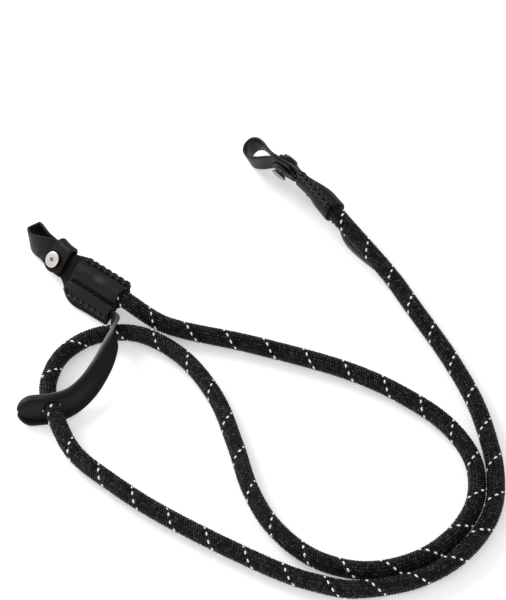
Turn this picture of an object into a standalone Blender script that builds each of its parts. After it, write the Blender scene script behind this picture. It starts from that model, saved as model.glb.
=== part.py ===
"""A braided rope carrying strap with a sewn leather fitting on each end, laid down in loose coils.

Each fitting is cut as a flat pattern and then bent to the way it lies. In the pattern s runs along the
fitting from the mouth of its sleeve to the tip of its loop, q runs across it from the line through the
screw, and d is the height off the middle of the band. Fitting.place turns (s, q, d) into a place.
"""

import bmesh
import bpy
import math
import numpy as np
from mathutils import Matrix, Vector

MM = 0.001

# Rope
ROPE_DIAMETER = 8.5
ROPE_STEP = 13.2            # spacing of the tube's rings along the rope
# The rope's middle line from the left sleeve to the right one, chosen by hand from the way it lies.
ROPE_ROUTE = [
    (-48.8, -14.1, 9.9), (-42.5, -19.1, 10.0), (-38.4, -22.4, 9.6), (-24.0, -31.5, 6.0),
    (-13.0, -35.5, 4.8), (22.5, -45.0, 4.5), (72.5, -62.5, 4.5), (97.0, -76.5, 4.5),
    (118.5, -95.0, 4.5), (130.0, -116.5, 4.5), (129.5, -139.0, 4.5), (118.5, -158.0, 4.5),
    (100.5, -172.0, 4.5), (75.5, -178.0, 4.5), (52.0, -171.5, 4.5), (33.5, -154.0, 4.5),
    (23.0, -133.5, 4.5), (16.0, -108.5, 4.5), (5.5, -78.0, 4.5), (-12.5, -52.0, 4.5),
    (-35.5, -38.0, 4.5), (-57.0, -40.0, 4.5), (-72.0, -52.5, 4.6), (-77.5, -69.0, 4.8),
    (-76.5, -81.0, 5.2), (-73.5, -89.5, 6.8), (-62.5, -111.5, 4.6), (-42.5, -130.0, 4.5),
    (-18.0, -148.0, 4.5), (37.0, -179.0, 4.5), (53.0, -185.0, 4.5), (70.5, -188.5, 4.5),
    (98.0, -184.0, 4.5), (120.0, -171.0, 4.5), (136.0, -149.5, 4.5), (141.0, -122.0, 4.5),
    (137.0, -92.5, 4.5), (124.5, -57.5, 4.5), (105.5, -19.0, 4.7), (96.0, -1.0, 5.6),
    (70.4, 32.0, 14.3), (67.6, 36.4, 14.7), (63.3, 43.2, 14.7),
]

# Leather
LEATHER = 1.5               # wall of the band, sleeve and keeper
TAIL_LEATHER = 1.8
GAP = 0.3                   # air between two pieces that lie on each other
CHANNEL_FLANK = 72.0        # slope of the channel's sides at the seams
CHANNEL_CLEARANCE = 0.45    # air round the rope in its sleeve
BAND_BELOW = 6.4            # band's lower edge from the line through the screw
BAND_ABOVE = 7.6            # band's upper edge from that line
SLEEVE_LENGTH = 30.0
SLEEVE_ROWS = 9             # rows of facets along the sleeve
WIDEST = 0.8                # share of the sleeve's length where it is widest
SLEEVE_BELOW = 15.0
SLEEVE_ABOVE = 10.0
FLAP = 1.8                  # the band's lower edge that shows past the sleeve
SEAM_MARGIN = 2.4           # upper seam from the sleeve's edge
SEAM_LAND = 0.55            # flat leather between the rope's channel and a seam
ROPE_INSERT = 8.0           # length of rope inside the sleeve
CHANNEL_SHRINK = 0.2        # share of the channel's height that is lost behind the rope's end
SLEEVE_OPENING = 0.3        # how far the sleeve's unsewn far end stands off the band

# Loop, keeper and screw
LOOP_REACH = 70.0           # mouth of the sleeve to the tip of the loop
LOOP_START = 52.2
LOOP_DEPTHS = {"left": 6.2, "right": 8.6}  # how far each loop opens
LOOP_RINGS = 22
LOOP_LEAD = 3.0             # straight band before the loop opens
LOOP_CLOSING = 2.0          # where the returning band is level again, before the loop's start
LOOP_CLOSED = 6.0
RETURN_END = 38.3           # where the band's end stops after the loop
SCREW_STATION = 44.0
KEEPER_LENGTH = 13.0
KEEPER_GAP = 0.5            # air under the keeper's leaves and under the barrel's flange
KEEPER_ROUND = 0.94         # share of the leaf's half width that its round end takes in
HEAD_DIAMETER = 8.6
HEAD_HEIGHT = 1.4
BARREL_DIAMETER = 6.8
BARREL_STANDS = {"left": 0.6, "right": 1.6}  # barrel that shows between the keeper and the head
FLANGE_DIAMETER = 9.0
FLANGE_HEIGHT = 1.2
SHANK_DIAMETER = 3.0
SHANK_LENGTH = 6.0
HOLE_CLEARANCE = 0.4        # round the barrel, and round the shank
CROSS_LENGTH = 3.4
CROSS_WIDTH = 0.8
CROSS_DEPTH = 0.7

# Tails
TAIL_INSERT = 5.0           # length of tail sewn into the sleeve
TAIL_MOUTH_WIDTH = 4.2
TAIL_PLAY = 0.15            # extra air above and below the tail in the sleeve
TAIL_CHANNEL_WIDTH = 7.2
TAIL_TOP = 0.76             # share of the tail's channel that is at its full height
LEFT_TAIL_WIDTH = 14.6
LEFT_TAIL_REACH = 60.0      # mouth to the middle of the rounded end, straight
RIGHT_TAIL_WIDTH = 9.2
RIGHT_TAIL_REACH = 36.0
ROPE_HOLE_CLEARANCE = 0.5
CREASE = 2.4                # how sharply the tail steps down under the rope
END_ANGLES = [24, 46, 64, 78]  # where the rows of a tail's round end lie on its arc
FLANGE_CHAMFER = 0.3
SMOOTH_BELOW = 40           # facets that meet at less than this many degrees are shaded smooth

# The pattern's edges: station as a share of the sleeve's length, then the share of the way from the
# band's edge out to the sleeve's edge, below and above.
EDGES = [
    ("station", "below", "above"),
    (0.00, 0.97, 1.0), (0.40, 1.0, 1.0), (0.80, 1.0, 1.0), (1.02, 0.66, 0.9),
    (1.16, 0.22, 0.5), (1.27, 0.0, 0.2), (1.42, 0.0, 0.0), (1.60, 0.0, 0.0), (2.60, 0.0, 0.0),
]

# The loop's section: station as a share of the way from its start to its tip, depth as a share.
LOOP = [
    ("station", "depth"),
    (0.25, -0.10), (0.55, -0.28), (0.80, -0.30), (0.95, -0.12), (1.0, 0.22), (0.96, 0.58), (0.84, 0.86),
    (0.62, 1.0), (0.34, 0.80), (0.08, 0.42),
]

# How each fitting lies: the plan of the line through its screw, as shares of the loop's reach from the
# mouth, and its roll in degrees, where 0 is flat on its back and 90 on its lower edge.
REST_CLEARANCE = 0.35       # lowest point of a fitting over the surface
MOUTHS = {"left": (-43.1, -19.8), "right": (68.9, 37.2)}
PLANS = {
    "left": [("x", "y"), (0.0, 0.0), (-0.32, 0.255), (-0.48, 0.395), (-0.66, 0.69)],
    "right": [("x", "y"), (0.0, 0.0), (-0.229, 0.353), (-0.407, 0.525), (-0.66, 0.79)],
}
ROLLS = {
    "left": [("station", "roll"), (0.0, 30), (0.40, 30), (0.48, 36), (0.55, 41), (0.63, 42), (0.71, 43),
             (0.79, 65), (0.86, 85), (0.93, 92), (1.1, 93)],
    "right": [("station", "roll"), (0.0, 118), (0.43, 118), (0.55, 116), (0.71, 116), (0.85, 114),
              (1.1, 113)],
}
NECK_LIFT = {"left": 0.0, "right": 3.5}  # the screw's height over its lowest possible one
KEEPER_FOLD = {"left": 1, "right": -1}  # the keeper folds round the upper or the lower edge

# Each tail's middle line past the mouth: x and y as shares of its reach, height in rope diameters,
# width as a share of its widest, roll in degrees and how far its section creases from flat to an S.
TAILS = {
    "left": [
        ("x", "y", "height", "width", "roll", "crease"),
        (0.03, -0.03, 0.74, 0.32, 34, 0.0),
        (0.04, -0.15, 1.12, 0.46, 60, 0.0),
        (0.035, -0.29, 1.60, 0.50, 86, 0.0),
        (0.03, -0.42, 1.56, 0.68, 122, 0.0),
        (-0.045, -0.62, 1.22, 0.78, 140, 0.2),
        (-0.15, -0.80, 0.92, 0.87, 136, 0.5),
        (-0.28, -0.935, 0.78, 0.92, 133, 0.8),
        (-0.435, -1.005, 0.755, 0.98, 134, 1.0),
        (-0.59, -1.025, 0.73, 1.0, 138, 1.0),
    ],
    "right": [
        ("x", "y", "height", "width", "roll", "crease"),
        (0.03, -0.05, 0.61, 0.46, 119, 0.0),
        (0.08, -0.19, 0.42, 0.80, 142, 0.0),
        (0.20, -0.37, 0.22, 0.94, 168, 0.0),
        (0.395, -0.57, 0.14, 1.0, 180, 0.0),
        (0.54, -0.725, 0.14, 1.0, 180, 0.0),
    ],
}

COLOURS = {
    "rope": ((0.012, 0.012, 0.013), 0.62, 0.0),
    "leather": ((0.016, 0.015, 0.015), 0.48, 0.0),
    "steel": ((0.80, 0.79, 0.77), 0.28, 1.0),
}


def clear_scene():
    for thing in list(bpy.data.objects):
        bpy.data.objects.remove(thing, do_unlink=True)


def material(name, kind):
    """A piece's own material, with the colour, roughness and metallic value of its kind."""
    colour, roughness, metallic = COLOURS[kind]
    made = bpy.data.materials.new(name + "_" + kind)
    made.use_nodes = True
    shader = made.node_tree.nodes["Principled BSDF"]
    shader.inputs["Base Color"].default_value = (*colour, 1.0)
    shader.inputs["Roughness"].default_value = roughness
    shader.inputs["Metallic"].default_value = metallic
    made.diffuse_color = (*colour, 1.0)
    return made


def smooth_line(points, per_span=24):
    """A smooth curve through the points, as a dense array: a Catmull-Rom spline on chord lengths."""
    p = np.asarray(points, float)
    p = np.vstack([2 * p[0] - p[1], p, 2 * p[-1] - p[-2]])
    knot = np.concatenate([[0], np.cumsum(np.linalg.norm(np.diff(p, axis=0), axis=1) ** 0.5)])
    pieces = []
    for i in range(1, len(p) - 2):
        t = np.linspace(knot[i], knot[i + 1], per_span, endpoint=False)[:, None]
        k = knot[i - 1:i + 3]
        a = [((k[j + 1] - t) * p[i - 1 + j] + (t - k[j]) * p[i + j]) / (k[j + 1] - k[j]) for j in range(3)]
        b = [((k[j + 2] - t) * a[j] + (t - k[j]) * a[j + 1]) / (k[j + 2] - k[j]) for j in range(2)]
        pieces.append(((k[2] - t) * b[0] + (t - k[1]) * b[1]) / (k[2] - k[1]))
    return np.vstack([*pieces, p[-2]])


def lengths(line):
    """Distance along a line at each of its points."""
    return np.concatenate([[0], np.cumsum(np.linalg.norm(np.diff(line, axis=0), axis=1))])


def spaced(line, count):
    """The same line with a number of evenly spaced points."""
    along = lengths(line)
    at = np.linspace(0, along[-1], count)
    return np.stack([np.interp(at, along, line[:, k]) for k in range(line.shape[1])], axis=1)


def table(rows):
    """The rows under a table's column names."""
    return np.array(rows[1:], float)


def ease(x):
    return x * x * (3 - 2 * x)


class Fitting:
    """One leather end: the flat pattern (s, q, d), bent to the way it lies."""

    def __init__(self, side):
        self.side = side
        plan = smooth_line(table(PLANS[side]) * LOOP_REACH + np.array(MOUTHS[side]))
        self.along = lengths(plan)
        self.plan = plan
        step = np.gradient(plan, self.along, axis=0)
        self.heading = np.unwrap(np.arctan2(step[:, 1], step[:, 0]))
        edges = smooth_line(table(EDGES) * (SLEEVE_LENGTH, 1, 1))
        self.edge_s, self.below_share, self.above_share = edges.T
        rolls = smooth_line(table(ROLLS[side]) * (LOOP_REACH, 1))
        self.roll_s, self.rolls = rolls.T
        stations = np.array([0, WIDEST * SLEEVE_LENGTH, SCREW_STATION, LOOP_REACH])
        rest = smooth_line(np.stack([stations, [self.rest_height(s) for s in stations]], axis=1))
        self.rest_s, self.rests = rest.T

    def below(self, s):
        """Distance from the screw's line down to the pattern's lower edge."""
        share = np.interp(s, self.edge_s, self.below_share)
        return BAND_BELOW + (SLEEVE_BELOW - BAND_BELOW) * share

    def above(self, s):
        share = np.interp(s, self.edge_s, self.above_share)
        return BAND_ABOVE + (SLEEVE_ABOVE - BAND_ABOVE) * share

    def roll(self, s):
        return np.radians(np.interp(s, self.roll_s, self.rolls))

    def rest_height(self, s):
        """Height of the screw's line at which the pattern's lowest point lies on the surface."""
        roll = float(self.roll(s))
        wall = LEATHER / 2 * abs(math.cos(roll))
        lowest = [(self.below(s), 0.0)]
        if s == SCREW_STATION:
            lowest.append((FLANGE_DIAMETER / 2, -BACK_OF_BARREL))
            if KEEPER_FOLD[self.side] < 0:
                lowest.append((BAND_BELOW + FOLD_RADIUS + LEATHER / 2, LAYER / 2))
        if s == LOOP_REACH:
            depths = table(LOOP)[:, 1] * LOOP_DEPTHS[self.side]
            lowest += [(self.below(s), depths.min()), (self.below(s), depths.max())]
        lift = NECK_LIFT[self.side] if s == SCREW_STATION else 0.0
        return REST_CLEARANCE + lift + wall + max(q * math.sin(roll) - d * math.cos(roll) for q, d in lowest)

    def axes(self, s):
        """The pattern's along, across and outward directions at s, and the screw line's place."""
        s = np.asarray(s, float)
        heading = np.interp(s, self.along, self.heading)
        roll = self.roll(s)
        flat = np.zeros_like(s)
        forward = np.stack([np.cos(heading), np.sin(heading), flat], axis=-1)
        side = np.stack([np.sin(heading), -np.cos(heading), flat], axis=-1)
        up = np.array([0.0, 0.0, 1.0])
        across = np.cos(roll)[..., None] * side + np.sin(roll)[..., None] * up
        outward = -np.sin(roll)[..., None] * side + np.cos(roll)[..., None] * up
        place = np.stack([np.interp(s, self.along, self.plan[:, 0]), np.interp(s, self.along, self.plan[:, 1]),
                          np.interp(s, self.rest_s, self.rests)], axis=-1)
        return place, forward, across, outward

    def place(self, s, q, d):
        """Where a point of the flat pattern lies."""
        s, q, d = np.broadcast_arrays(*(np.asarray(v, float) for v in (s, q, d)))
        origin, _, across, outward = self.axes(s)
        return origin + q[..., None] * across + d[..., None] * outward


# Heights in the stack at the screw: keeper's back leaf, band, band's end, keeper's front leaf
LAYER = LEATHER + GAP
FRONT_LEAF = LAYER + LEATHER + KEEPER_GAP
FOLD_RADIUS = FRONT_LEAF - LAYER / 2
BACK_OF_STACK = FRONT_LEAF - LAYER + LEATHER / 2
FRONT_OF_STACK = FRONT_LEAF + LEATHER / 2
BACK_OF_BARREL = BACK_OF_STACK + KEEPER_GAP + FLANGE_HEIGHT
SEAM_HEIGHT = LAYER / 2                  # half the distance between the band and the sleeve at a seam
CHANNEL_RADIUS = ROPE_DIAMETER / 2 + CHANNEL_CLEARANCE + LEATHER / 2
FLANK = math.radians(CHANNEL_FLANK)
CHANNEL_HALF = CHANNEL_RADIUS / math.sin(FLANK) - SEAM_HEIGHT / math.tan(FLANK)
UPPER_SEAM = SLEEVE_ABOVE - SEAM_MARGIN
CHANNEL_Q = UPPER_SEAM - SEAM_LAND - CHANNEL_HALF
MIDDLE_SEAM = CHANNEL_Q - CHANNEL_HALF - SEAM_LAND
TAIL_Q = MIDDLE_SEAM - SEAM_LAND - TAIL_CHANNEL_WIDTH / 2
TAIL_D = LEATHER / 2 + GAP + TAIL_PLAY + TAIL_LEATHER / 2
TAIL_BUMP = TAIL_LEATHER + GAP + 2 * TAIL_PLAY


def channel_share(s):
    """Share of the rope channel's full height at s: full over the rope, lower behind its end."""
    behind = np.clip((s - ROPE_INSERT) / (SLEEVE_LENGTH - ROPE_INSERT) * 2, 0, 1)
    return 1 - CHANNEL_SHRINK * ease(behind)


def channel(q):
    """Height of the channel's wall above a seam's level: round over the rope, straight at its sides."""
    x = np.abs(q - CHANNEL_Q)
    touch = CHANNEL_RADIUS * math.sin(FLANK)
    arc = np.sqrt(CHANNEL_RADIUS ** 2 - np.minimum(x, touch) ** 2)
    side = CHANNEL_RADIUS * math.cos(FLANK) - (x - touch) * math.tan(FLANK)
    return np.maximum(np.where(x < touch, arc, side) - SEAM_HEIGHT, 0)


def tail_bump(q):
    """Height of the sleeve over the tail, above a seam's level."""
    half = TAIL_CHANNEL_WIDTH / 2
    return TAIL_BUMP * np.clip((half - np.abs(q - TAIL_Q)) / (half * (1 - TAIL_TOP)), 0, 1)


def band_depth(s, q):
    """The band swells away from the rope inside the sleeve and is flat from the keeper on."""
    fade = 1 - ease(np.clip((s - ROPE_INSERT) / (SLEEVE_LENGTH + LAYER - ROPE_INSERT), 0, 1))
    return -channel(q) * fade


def sheet(name, surface, wall, cutters=()):
    """A leather piece: a grid of places given a wall by Solidify, with cutters taken out of it."""
    rows, columns = surface.shape[:2]
    mesh = bpy.data.meshes.new(name)
    index = np.arange(rows * columns).reshape(rows, columns)
    quads = np.stack([index[:-1, :-1], index[1:, :-1], index[1:, 1:], index[:-1, 1:]], axis=-1)
    mesh.from_pydata((surface.reshape(-1, 3) * MM).tolist(), [], quads.reshape(-1, 4).tolist())
    piece = finish(name, mesh, "leather")
    solid = piece.modifiers.new("wall", "SOLIDIFY")
    solid.thickness = wall * MM
    solid.offset = 0.0
    solid.use_even_offset = True
    cut_out(piece, cutters)


def cut_out(piece, cutters):
    for cutter in cutters:
        cut = piece.modifiers.new("cut", "BOOLEAN")
        cut.operation = "DIFFERENCE"
        cut.solver = "EXACT"
        cut.object = cutter


def finish(name, mesh, kind):
    """Link a mesh as one named piece with its material."""
    piece = bpy.data.objects.new(name, mesh)
    bpy.context.scene.collection.objects.link(piece)
    mesh.materials.append(material(name, kind))
    mesh.shade_smooth()
    mesh.set_sharp_from_angle(angle=math.radians(SMOOTH_BELOW))
    return piece


def hide_cutter(thing):
    thing.hide_render = True
    thing.display_type = "WIRE"
    return thing


def turned(name, profile, matrix, segments=20, cutters=()):
    """A turned steel piece: a profile of (radius, height) spun about its axis by a Screw modifier."""
    mesh = bpy.data.meshes.new(name)
    points = [(radius * MM, 0.0, height * MM) for radius, height in profile]
    mesh.from_pydata(points, [(i, i + 1) for i in range(len(points) - 1)], [])
    piece = finish(name, mesh, "steel")
    piece.matrix_world = matrix
    spin = piece.modifiers.new("spin", "SCREW")
    spin.steps = segments
    spin.render_steps = segments
    spin.use_merge_vertices = True
    spin.merge_threshold = 0.00001
    cut_out(piece, cutters)


def rope_line():
    """The rope's middle line, at the spacing of its rings."""
    line = smooth_line(ROPE_ROUTE)
    return spaced(line, round(lengths(line)[-1] / ROPE_STEP) + 1)


def make_rope():
    line = rope_line()
    curve = bpy.data.curves.new("rope", "CURVE")
    curve.dimensions = "3D"
    curve.bevel_depth = ROPE_DIAMETER / 2 * MM
    curve.bevel_resolution = 4
    curve.use_fill_caps = True
    spline = curve.splines.new("POLY")
    spline.points.add(len(line) - 1)
    for point, place in zip(spline.points, line):
        point.co = (*(place * MM), 1.0)
    curve.materials.append(material("braid", "rope"))
    rope = bpy.data.objects.new("rope", curve)
    bpy.context.scene.collection.objects.link(rope)


def make_rope_cutter(segments=16):
    """A tube round the rope, for the slit in the tail that the rope goes through."""
    line = rope_line()
    ahead = np.gradient(line, axis=0)
    ahead /= np.linalg.norm(ahead, axis=1)[:, None]
    side = np.stack([-ahead[:, 1], ahead[:, 0], 0 * ahead[:, 0]], axis=1)
    side /= np.linalg.norm(side, axis=1)[:, None]
    up = np.cross(ahead, side)
    angle = np.linspace(0, 2 * math.pi, segments, endpoint=False)[None, :, None]
    ring = np.cos(angle) * side[:, None] + np.sin(angle) * up[:, None]
    places = line[:, None] + (ROPE_DIAMETER / 2 + ROPE_HOLE_CLEARANCE) * ring
    index = np.arange(len(line) * segments).reshape(len(line), segments)
    turned_index = np.roll(index, -1, axis=1)
    quads = np.stack([index[:-1], turned_index[:-1], turned_index[1:], index[1:]], axis=-1).reshape(-1, 4)
    mesh = bpy.data.meshes.new("rope_hole_cutter")
    mesh.from_pydata((places.reshape(-1, 3) * MM).tolist(), [],
                     quads.tolist() + [index[0, ::-1].tolist(), index[-1].tolist()])
    cutter = bpy.data.objects.new("rope_hole_cutter", mesh)
    bpy.context.scene.collection.objects.link(cutter)
    return hide_cutter(cutter)


def screw_matrix(fitting, d=0.0):
    """The frame of the screw: its Z runs outward through the keeper."""
    place, forward, across, outward = fitting.axes(SCREW_STATION)
    at = (place + d * outward) * MM
    turn = Matrix((forward, across, outward)).transposed().to_4x4()
    if turn.determinant() < 0:
        turn = Matrix((-forward, across, outward)).transposed().to_4x4()
    return Matrix.Translation(Vector(at)) @ turn


def make_hole_cutter(fitting):
    """A plug through the whole stack, for the barrel's hole."""
    mesh = bpy.data.meshes.new(fitting.side + "_hole_cutter")
    build = bmesh.new()
    radius = (BARREL_DIAMETER / 2 + HOLE_CLEARANCE) * MM
    bmesh.ops.create_cone(build, cap_ends=True, segments=20, radius1=radius, radius2=radius,
                          depth=(FRONT_OF_STACK + BACK_OF_STACK + 4 * LAYER) * MM)
    build.to_mesh(mesh)
    build.free()
    plug = bpy.data.objects.new(mesh.name, mesh)
    bpy.context.scene.collection.objects.link(plug)
    plug.matrix_world = screw_matrix(fitting, LAYER / 2)
    return hide_cutter(plug)


def across(fitting, s, keys, low=None):
    """The pattern's columns at each s: its lower edge, the keys and its upper edge.

    A key is a distance from the screw's line. It stays where it is along the sleeve, and closes in
    with the band's edges past it.
    """
    sewn = np.minimum(s, WIDEST * SLEEVE_LENGTH)
    width = fitting.below(sewn) + fitting.above(sewn)
    share = (np.sort(keys)[None, :] + fitting.below(sewn)) / width
    inner = -fitting.below(s) + share * (fitting.below(s) + fitting.above(s))
    return np.hstack([-fitting.below(s) if low is None else low, inner, fitting.above(s)])


def arch(step):
    """Distances across the rope's channel: its two seams, and every few degrees of its round wall."""
    most = step * math.floor(CHANNEL_FLANK / step)
    angles = np.radians(np.arange(-most, most + 1, step))
    round_wall = CHANNEL_Q + CHANNEL_RADIUS * np.sin(angles)
    return [CHANNEL_Q - CHANNEL_HALF, *round_wall, CHANNEL_Q + CHANNEL_HALF]


def sleeve_stations():
    return np.linspace(0, SLEEVE_LENGTH, SLEEVE_ROWS)


def band_surface(fitting):
    """The band: sleeve's back, neck, and round the loop to its end under the keeper."""
    neck = np.linspace(SLEEVE_LENGTH, LOOP_START, 6)[1:]
    shares = table(LOOP)
    depth = LOOP_DEPTHS[fitting.side]
    turn = np.stack([LOOP_START + shares[:, 0] * (LOOP_REACH - LOOP_START), shares[:, 1] * depth], axis=1)
    lead = [(LOOP_START - LOOP_LEAD, 0.0), (LOOP_START, 0.0)]
    close = [(LOOP_START - LOOP_CLOSING, LAYER), (LOOP_START - LOOP_CLOSED, LAYER)]
    loop = smooth_line(np.vstack([lead, turn, close]))
    start = np.argmax(loop[:, 0] >= LOOP_START)
    loop = spaced(loop[start:], LOOP_RINGS + 1)[1:]
    tongue = np.stack([np.linspace(LOOP_START - LOOP_CLOSED, RETURN_END, 3)[1:], np.full(2, LAYER)], axis=1)
    s = np.concatenate([sleeve_stations(), neck, loop[:, 0], tongue[:, 0]])[:, None]
    lift = np.concatenate([np.zeros(SLEEVE_ROWS + len(neck)), loop[:, 1], tongue[:, 1]])[:, None]
    q = across(fitting, s, [TAIL_Q - TAIL_CHANNEL_WIDTH / 2, TAIL_Q, *arch(30)])
    return fitting.place(s, q, lift + band_depth(s, q))


def sleeve_surface(fitting):
    """The sleeve: its round channel over the rope, its low bump over the tail, and the seams' lands."""
    s = sleeve_stations()[:, None]
    bump = TAIL_Q + TAIL_CHANNEL_WIDTH / 2 * np.array([-1, -TAIL_TOP, 0, TAIL_TOP, 1])
    q = across(fitting, s, [*bump, *arch(20)], low=FLAP - fitting.below(s))
    opening = SLEEVE_OPENING * (s / SLEEVE_LENGTH) ** 4
    return fitting.place(s, q, LAYER + opening + channel(q) * channel_share(s) + tail_bump(q))


def keeper_surface(fitting, rows=8, columns=10):
    """The keeper: a front leaf with a rounded end, a fold round the band's edge, and a back leaf."""
    fold = KEEPER_FOLD[fitting.side]
    edge = BAND_ABOVE if fold > 0 else BAND_BELOW
    half = KEEPER_LENGTH / 2
    v = np.linspace(-KEEPER_ROUND, KEEPER_ROUND, rows)[:, None]
    tip = -half * np.sqrt(1 - v ** 2)
    leaf = np.linspace(0, 1, columns)[None, :-1]
    angle = np.linspace(math.pi / 2, -math.pi / 2, 7)[None, :]
    front_q = tip + leaf * (edge - tip)
    q = np.hstack([front_q, edge + FOLD_RADIUS * np.cos(angle) + 0 * v, front_q[:, ::-1]])
    d = np.hstack([np.full_like(front_q, FRONT_LEAF), LAYER / 2 + FOLD_RADIUS * np.sin(angle) + 0 * v,
                   np.full_like(front_q, LAYER - FRONT_LEAF)])
    return fitting.place(SCREW_STATION + v * half + 0 * q, fold * q, d)


def tail_frame(fitting, width, reach):
    """A tail's middle line, width, roll and crease, from inside the sleeve to its rounded end."""
    rows = table(TAILS[fitting.side])
    inner = fitting.place([TAIL_INSERT, 0.45 * TAIL_INSERT, 0], TAIL_Q, TAIL_D)
    mouth = inner[-1]
    outer = np.stack([mouth[0] + rows[:, 0] * reach, mouth[1] + rows[:, 1] * reach,
                      rows[:, 2] * ROPE_DIAMETER], axis=1)
    rolls = np.degrees(fitting.roll(np.array([TAIL_INSERT, 0.45 * TAIL_INSERT, 0])))
    widths = np.concatenate([np.full(3, TAIL_MOUTH_WIDTH), rows[:, 3] * width])
    columns = [np.vstack([inner, outer]), widths[:, None], np.concatenate([rolls, rows[:, 4]])[:, None],
               np.concatenate([np.zeros(3), rows[:, 5]])[:, None]]
    return smooth_line(np.hstack(columns))


def tail_surface(fitting, width, reach, rows=22, columns=9):
    """A tail: a strip about its middle line, turned by its roll, with an S crease and a round end."""
    line = tail_frame(fitting, width, reach)
    along = lengths(line[:, :3])
    end = along[-1] + width / 2
    rounding = np.sin(np.radians(END_ANGLES))
    at = np.concatenate([np.linspace(0, along[-1], rows), along[-1] + rounding * width / 2])
    step = np.gradient(line[:, :3], along, axis=0)
    step = np.stack([np.interp(at, along, step[:, k]) for k in range(3)], axis=1)
    centre = np.stack([np.interp(at, along, line[:, k]) for k in range(3)], axis=1)
    centre += np.clip(at - along[-1], 0, None)[:, None] * step
    wide, roll, crease = (np.interp(at, along, line[:, k])[:, None] for k in (3, 4, 5))
    side = np.stack([-step[:, 1], step[:, 0]], axis=1)
    side /= np.linalg.norm(side, axis=1)[:, None]
    roll = np.radians(roll)
    past = np.clip((at - (end - width / 2)) / (width / 2), 0, 1)[:, None]
    q = np.linspace(-0.5, 0.5, columns)[None, :] * np.sqrt(1 - past ** 2)
    rise = (1 - crease) * q + crease * (ease(np.clip(CREASE * q + 0.5, 0, 1)) - 0.5)
    spread = (wide * q * np.cos(roll))[..., None] * side[:, None, :]
    high = centre[:, None, 2] + wide * rise * np.sin(roll)
    return np.concatenate([centre[:, None, :2] + spread, high[..., None]], axis=2)


def make_fitting(side):
    fitting = Fitting(side)
    hole = make_hole_cutter(fitting)
    sheet(side + "_band", band_surface(fitting), LEATHER, [hole])
    sheet(side + "_sleeve", sleeve_surface(fitting), LEATHER)
    sheet(side + "_keeper", keeper_surface(fitting), LEATHER, [hole])
    make_screw(fitting)
    return fitting


def make_screw(fitting):
    """The screw with its cross slot, and the flanged barrel that it is driven into."""
    side = fitting.side
    frame = screw_matrix(fitting)
    head = HEAD_DIAMETER / 2
    shank = SHANK_DIAMETER / 2
    barrel_top = FRONT_OF_STACK + BARREL_STANDS[side]
    under = barrel_top + GAP
    top = under + HEAD_HEIGHT
    slots = [make_slot(side + "_slot_a", frame, top, CROSS_LENGTH, CROSS_WIDTH),
             make_slot(side + "_slot_b", frame, top, CROSS_WIDTH, CROSS_LENGTH)]
    turned(side + "_screw", [
        (0, top), (0.55 * head, top - 0.1), (0.88 * head, top - 0.35), (head, top - 0.75), (head, under),
        (shank, under), (shank, under - SHANK_LENGTH), (0, under - SHANK_LENGTH),
    ], frame, cutters=slots)
    barrel = BARREL_DIAMETER / 2
    flange = FLANGE_DIAMETER / 2
    bore = shank + HOLE_CLEARANCE
    foot = -BACK_OF_BARREL
    floor_of_bore = under - SHANK_LENGTH - HOLE_CLEARANCE
    turned(side + "_barrel", [
        (0, floor_of_bore), (bore, floor_of_bore), (bore, barrel_top), (barrel, barrel_top),
        (barrel, foot + FLANGE_HEIGHT), (flange, foot + FLANGE_HEIGHT), (flange, foot + FLANGE_CHAMFER),
        (flange - FLANGE_CHAMFER, foot), (0, foot),
    ], frame)


def make_slot(name, frame, top, length, width):
    mesh = bpy.data.meshes.new(name)
    build = bmesh.new()
    bmesh.ops.create_cube(build, size=1.0)
    bmesh.ops.scale(build, vec=(length * MM, width * MM, 2 * CROSS_DEPTH * MM), verts=build.verts)
    bmesh.ops.translate(build, vec=(0, 0, top * MM), verts=build.verts)
    build.to_mesh(mesh)
    build.free()
    slot = bpy.data.objects.new(name, mesh)
    bpy.context.scene.collection.objects.link(slot)
    slot.matrix_world = frame
    return hide_cutter(slot)


def make_tails(left, right):
    """The left tail with the slit that the rope goes through, and the right tail under the rope."""
    slit = make_rope_cutter()
    sheet("left_tail", tail_surface(left, LEFT_TAIL_WIDTH, LEFT_TAIL_REACH), TAIL_LEATHER, [slit])
    sheet("right_tail", tail_surface(right, RIGHT_TAIL_WIDTH, RIGHT_TAIL_REACH, rows=10), TAIL_LEATHER)


clear_scene()
make_rope()
left_fitting = make_fitting("left")
right_fitting = make_fitting("right")
make_tails(left_fitting, right_fitting)
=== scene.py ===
"""Looks of the coiled braided strap: its braid and white tracer, its sewn leather ends and their screws.

A leather piece is worked out on its flat cutting pattern. There s runs along the fitting from the mouth
of the sleeve to the tip of the loop, q runs across it from the line through the screw, and d is the
height off the middle of the base band. Fitting.place turns (s, q, d) into a place. Lengths are in
millimetres until a mesh is made, and the rope's route is in metres.
"""

import math

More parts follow.
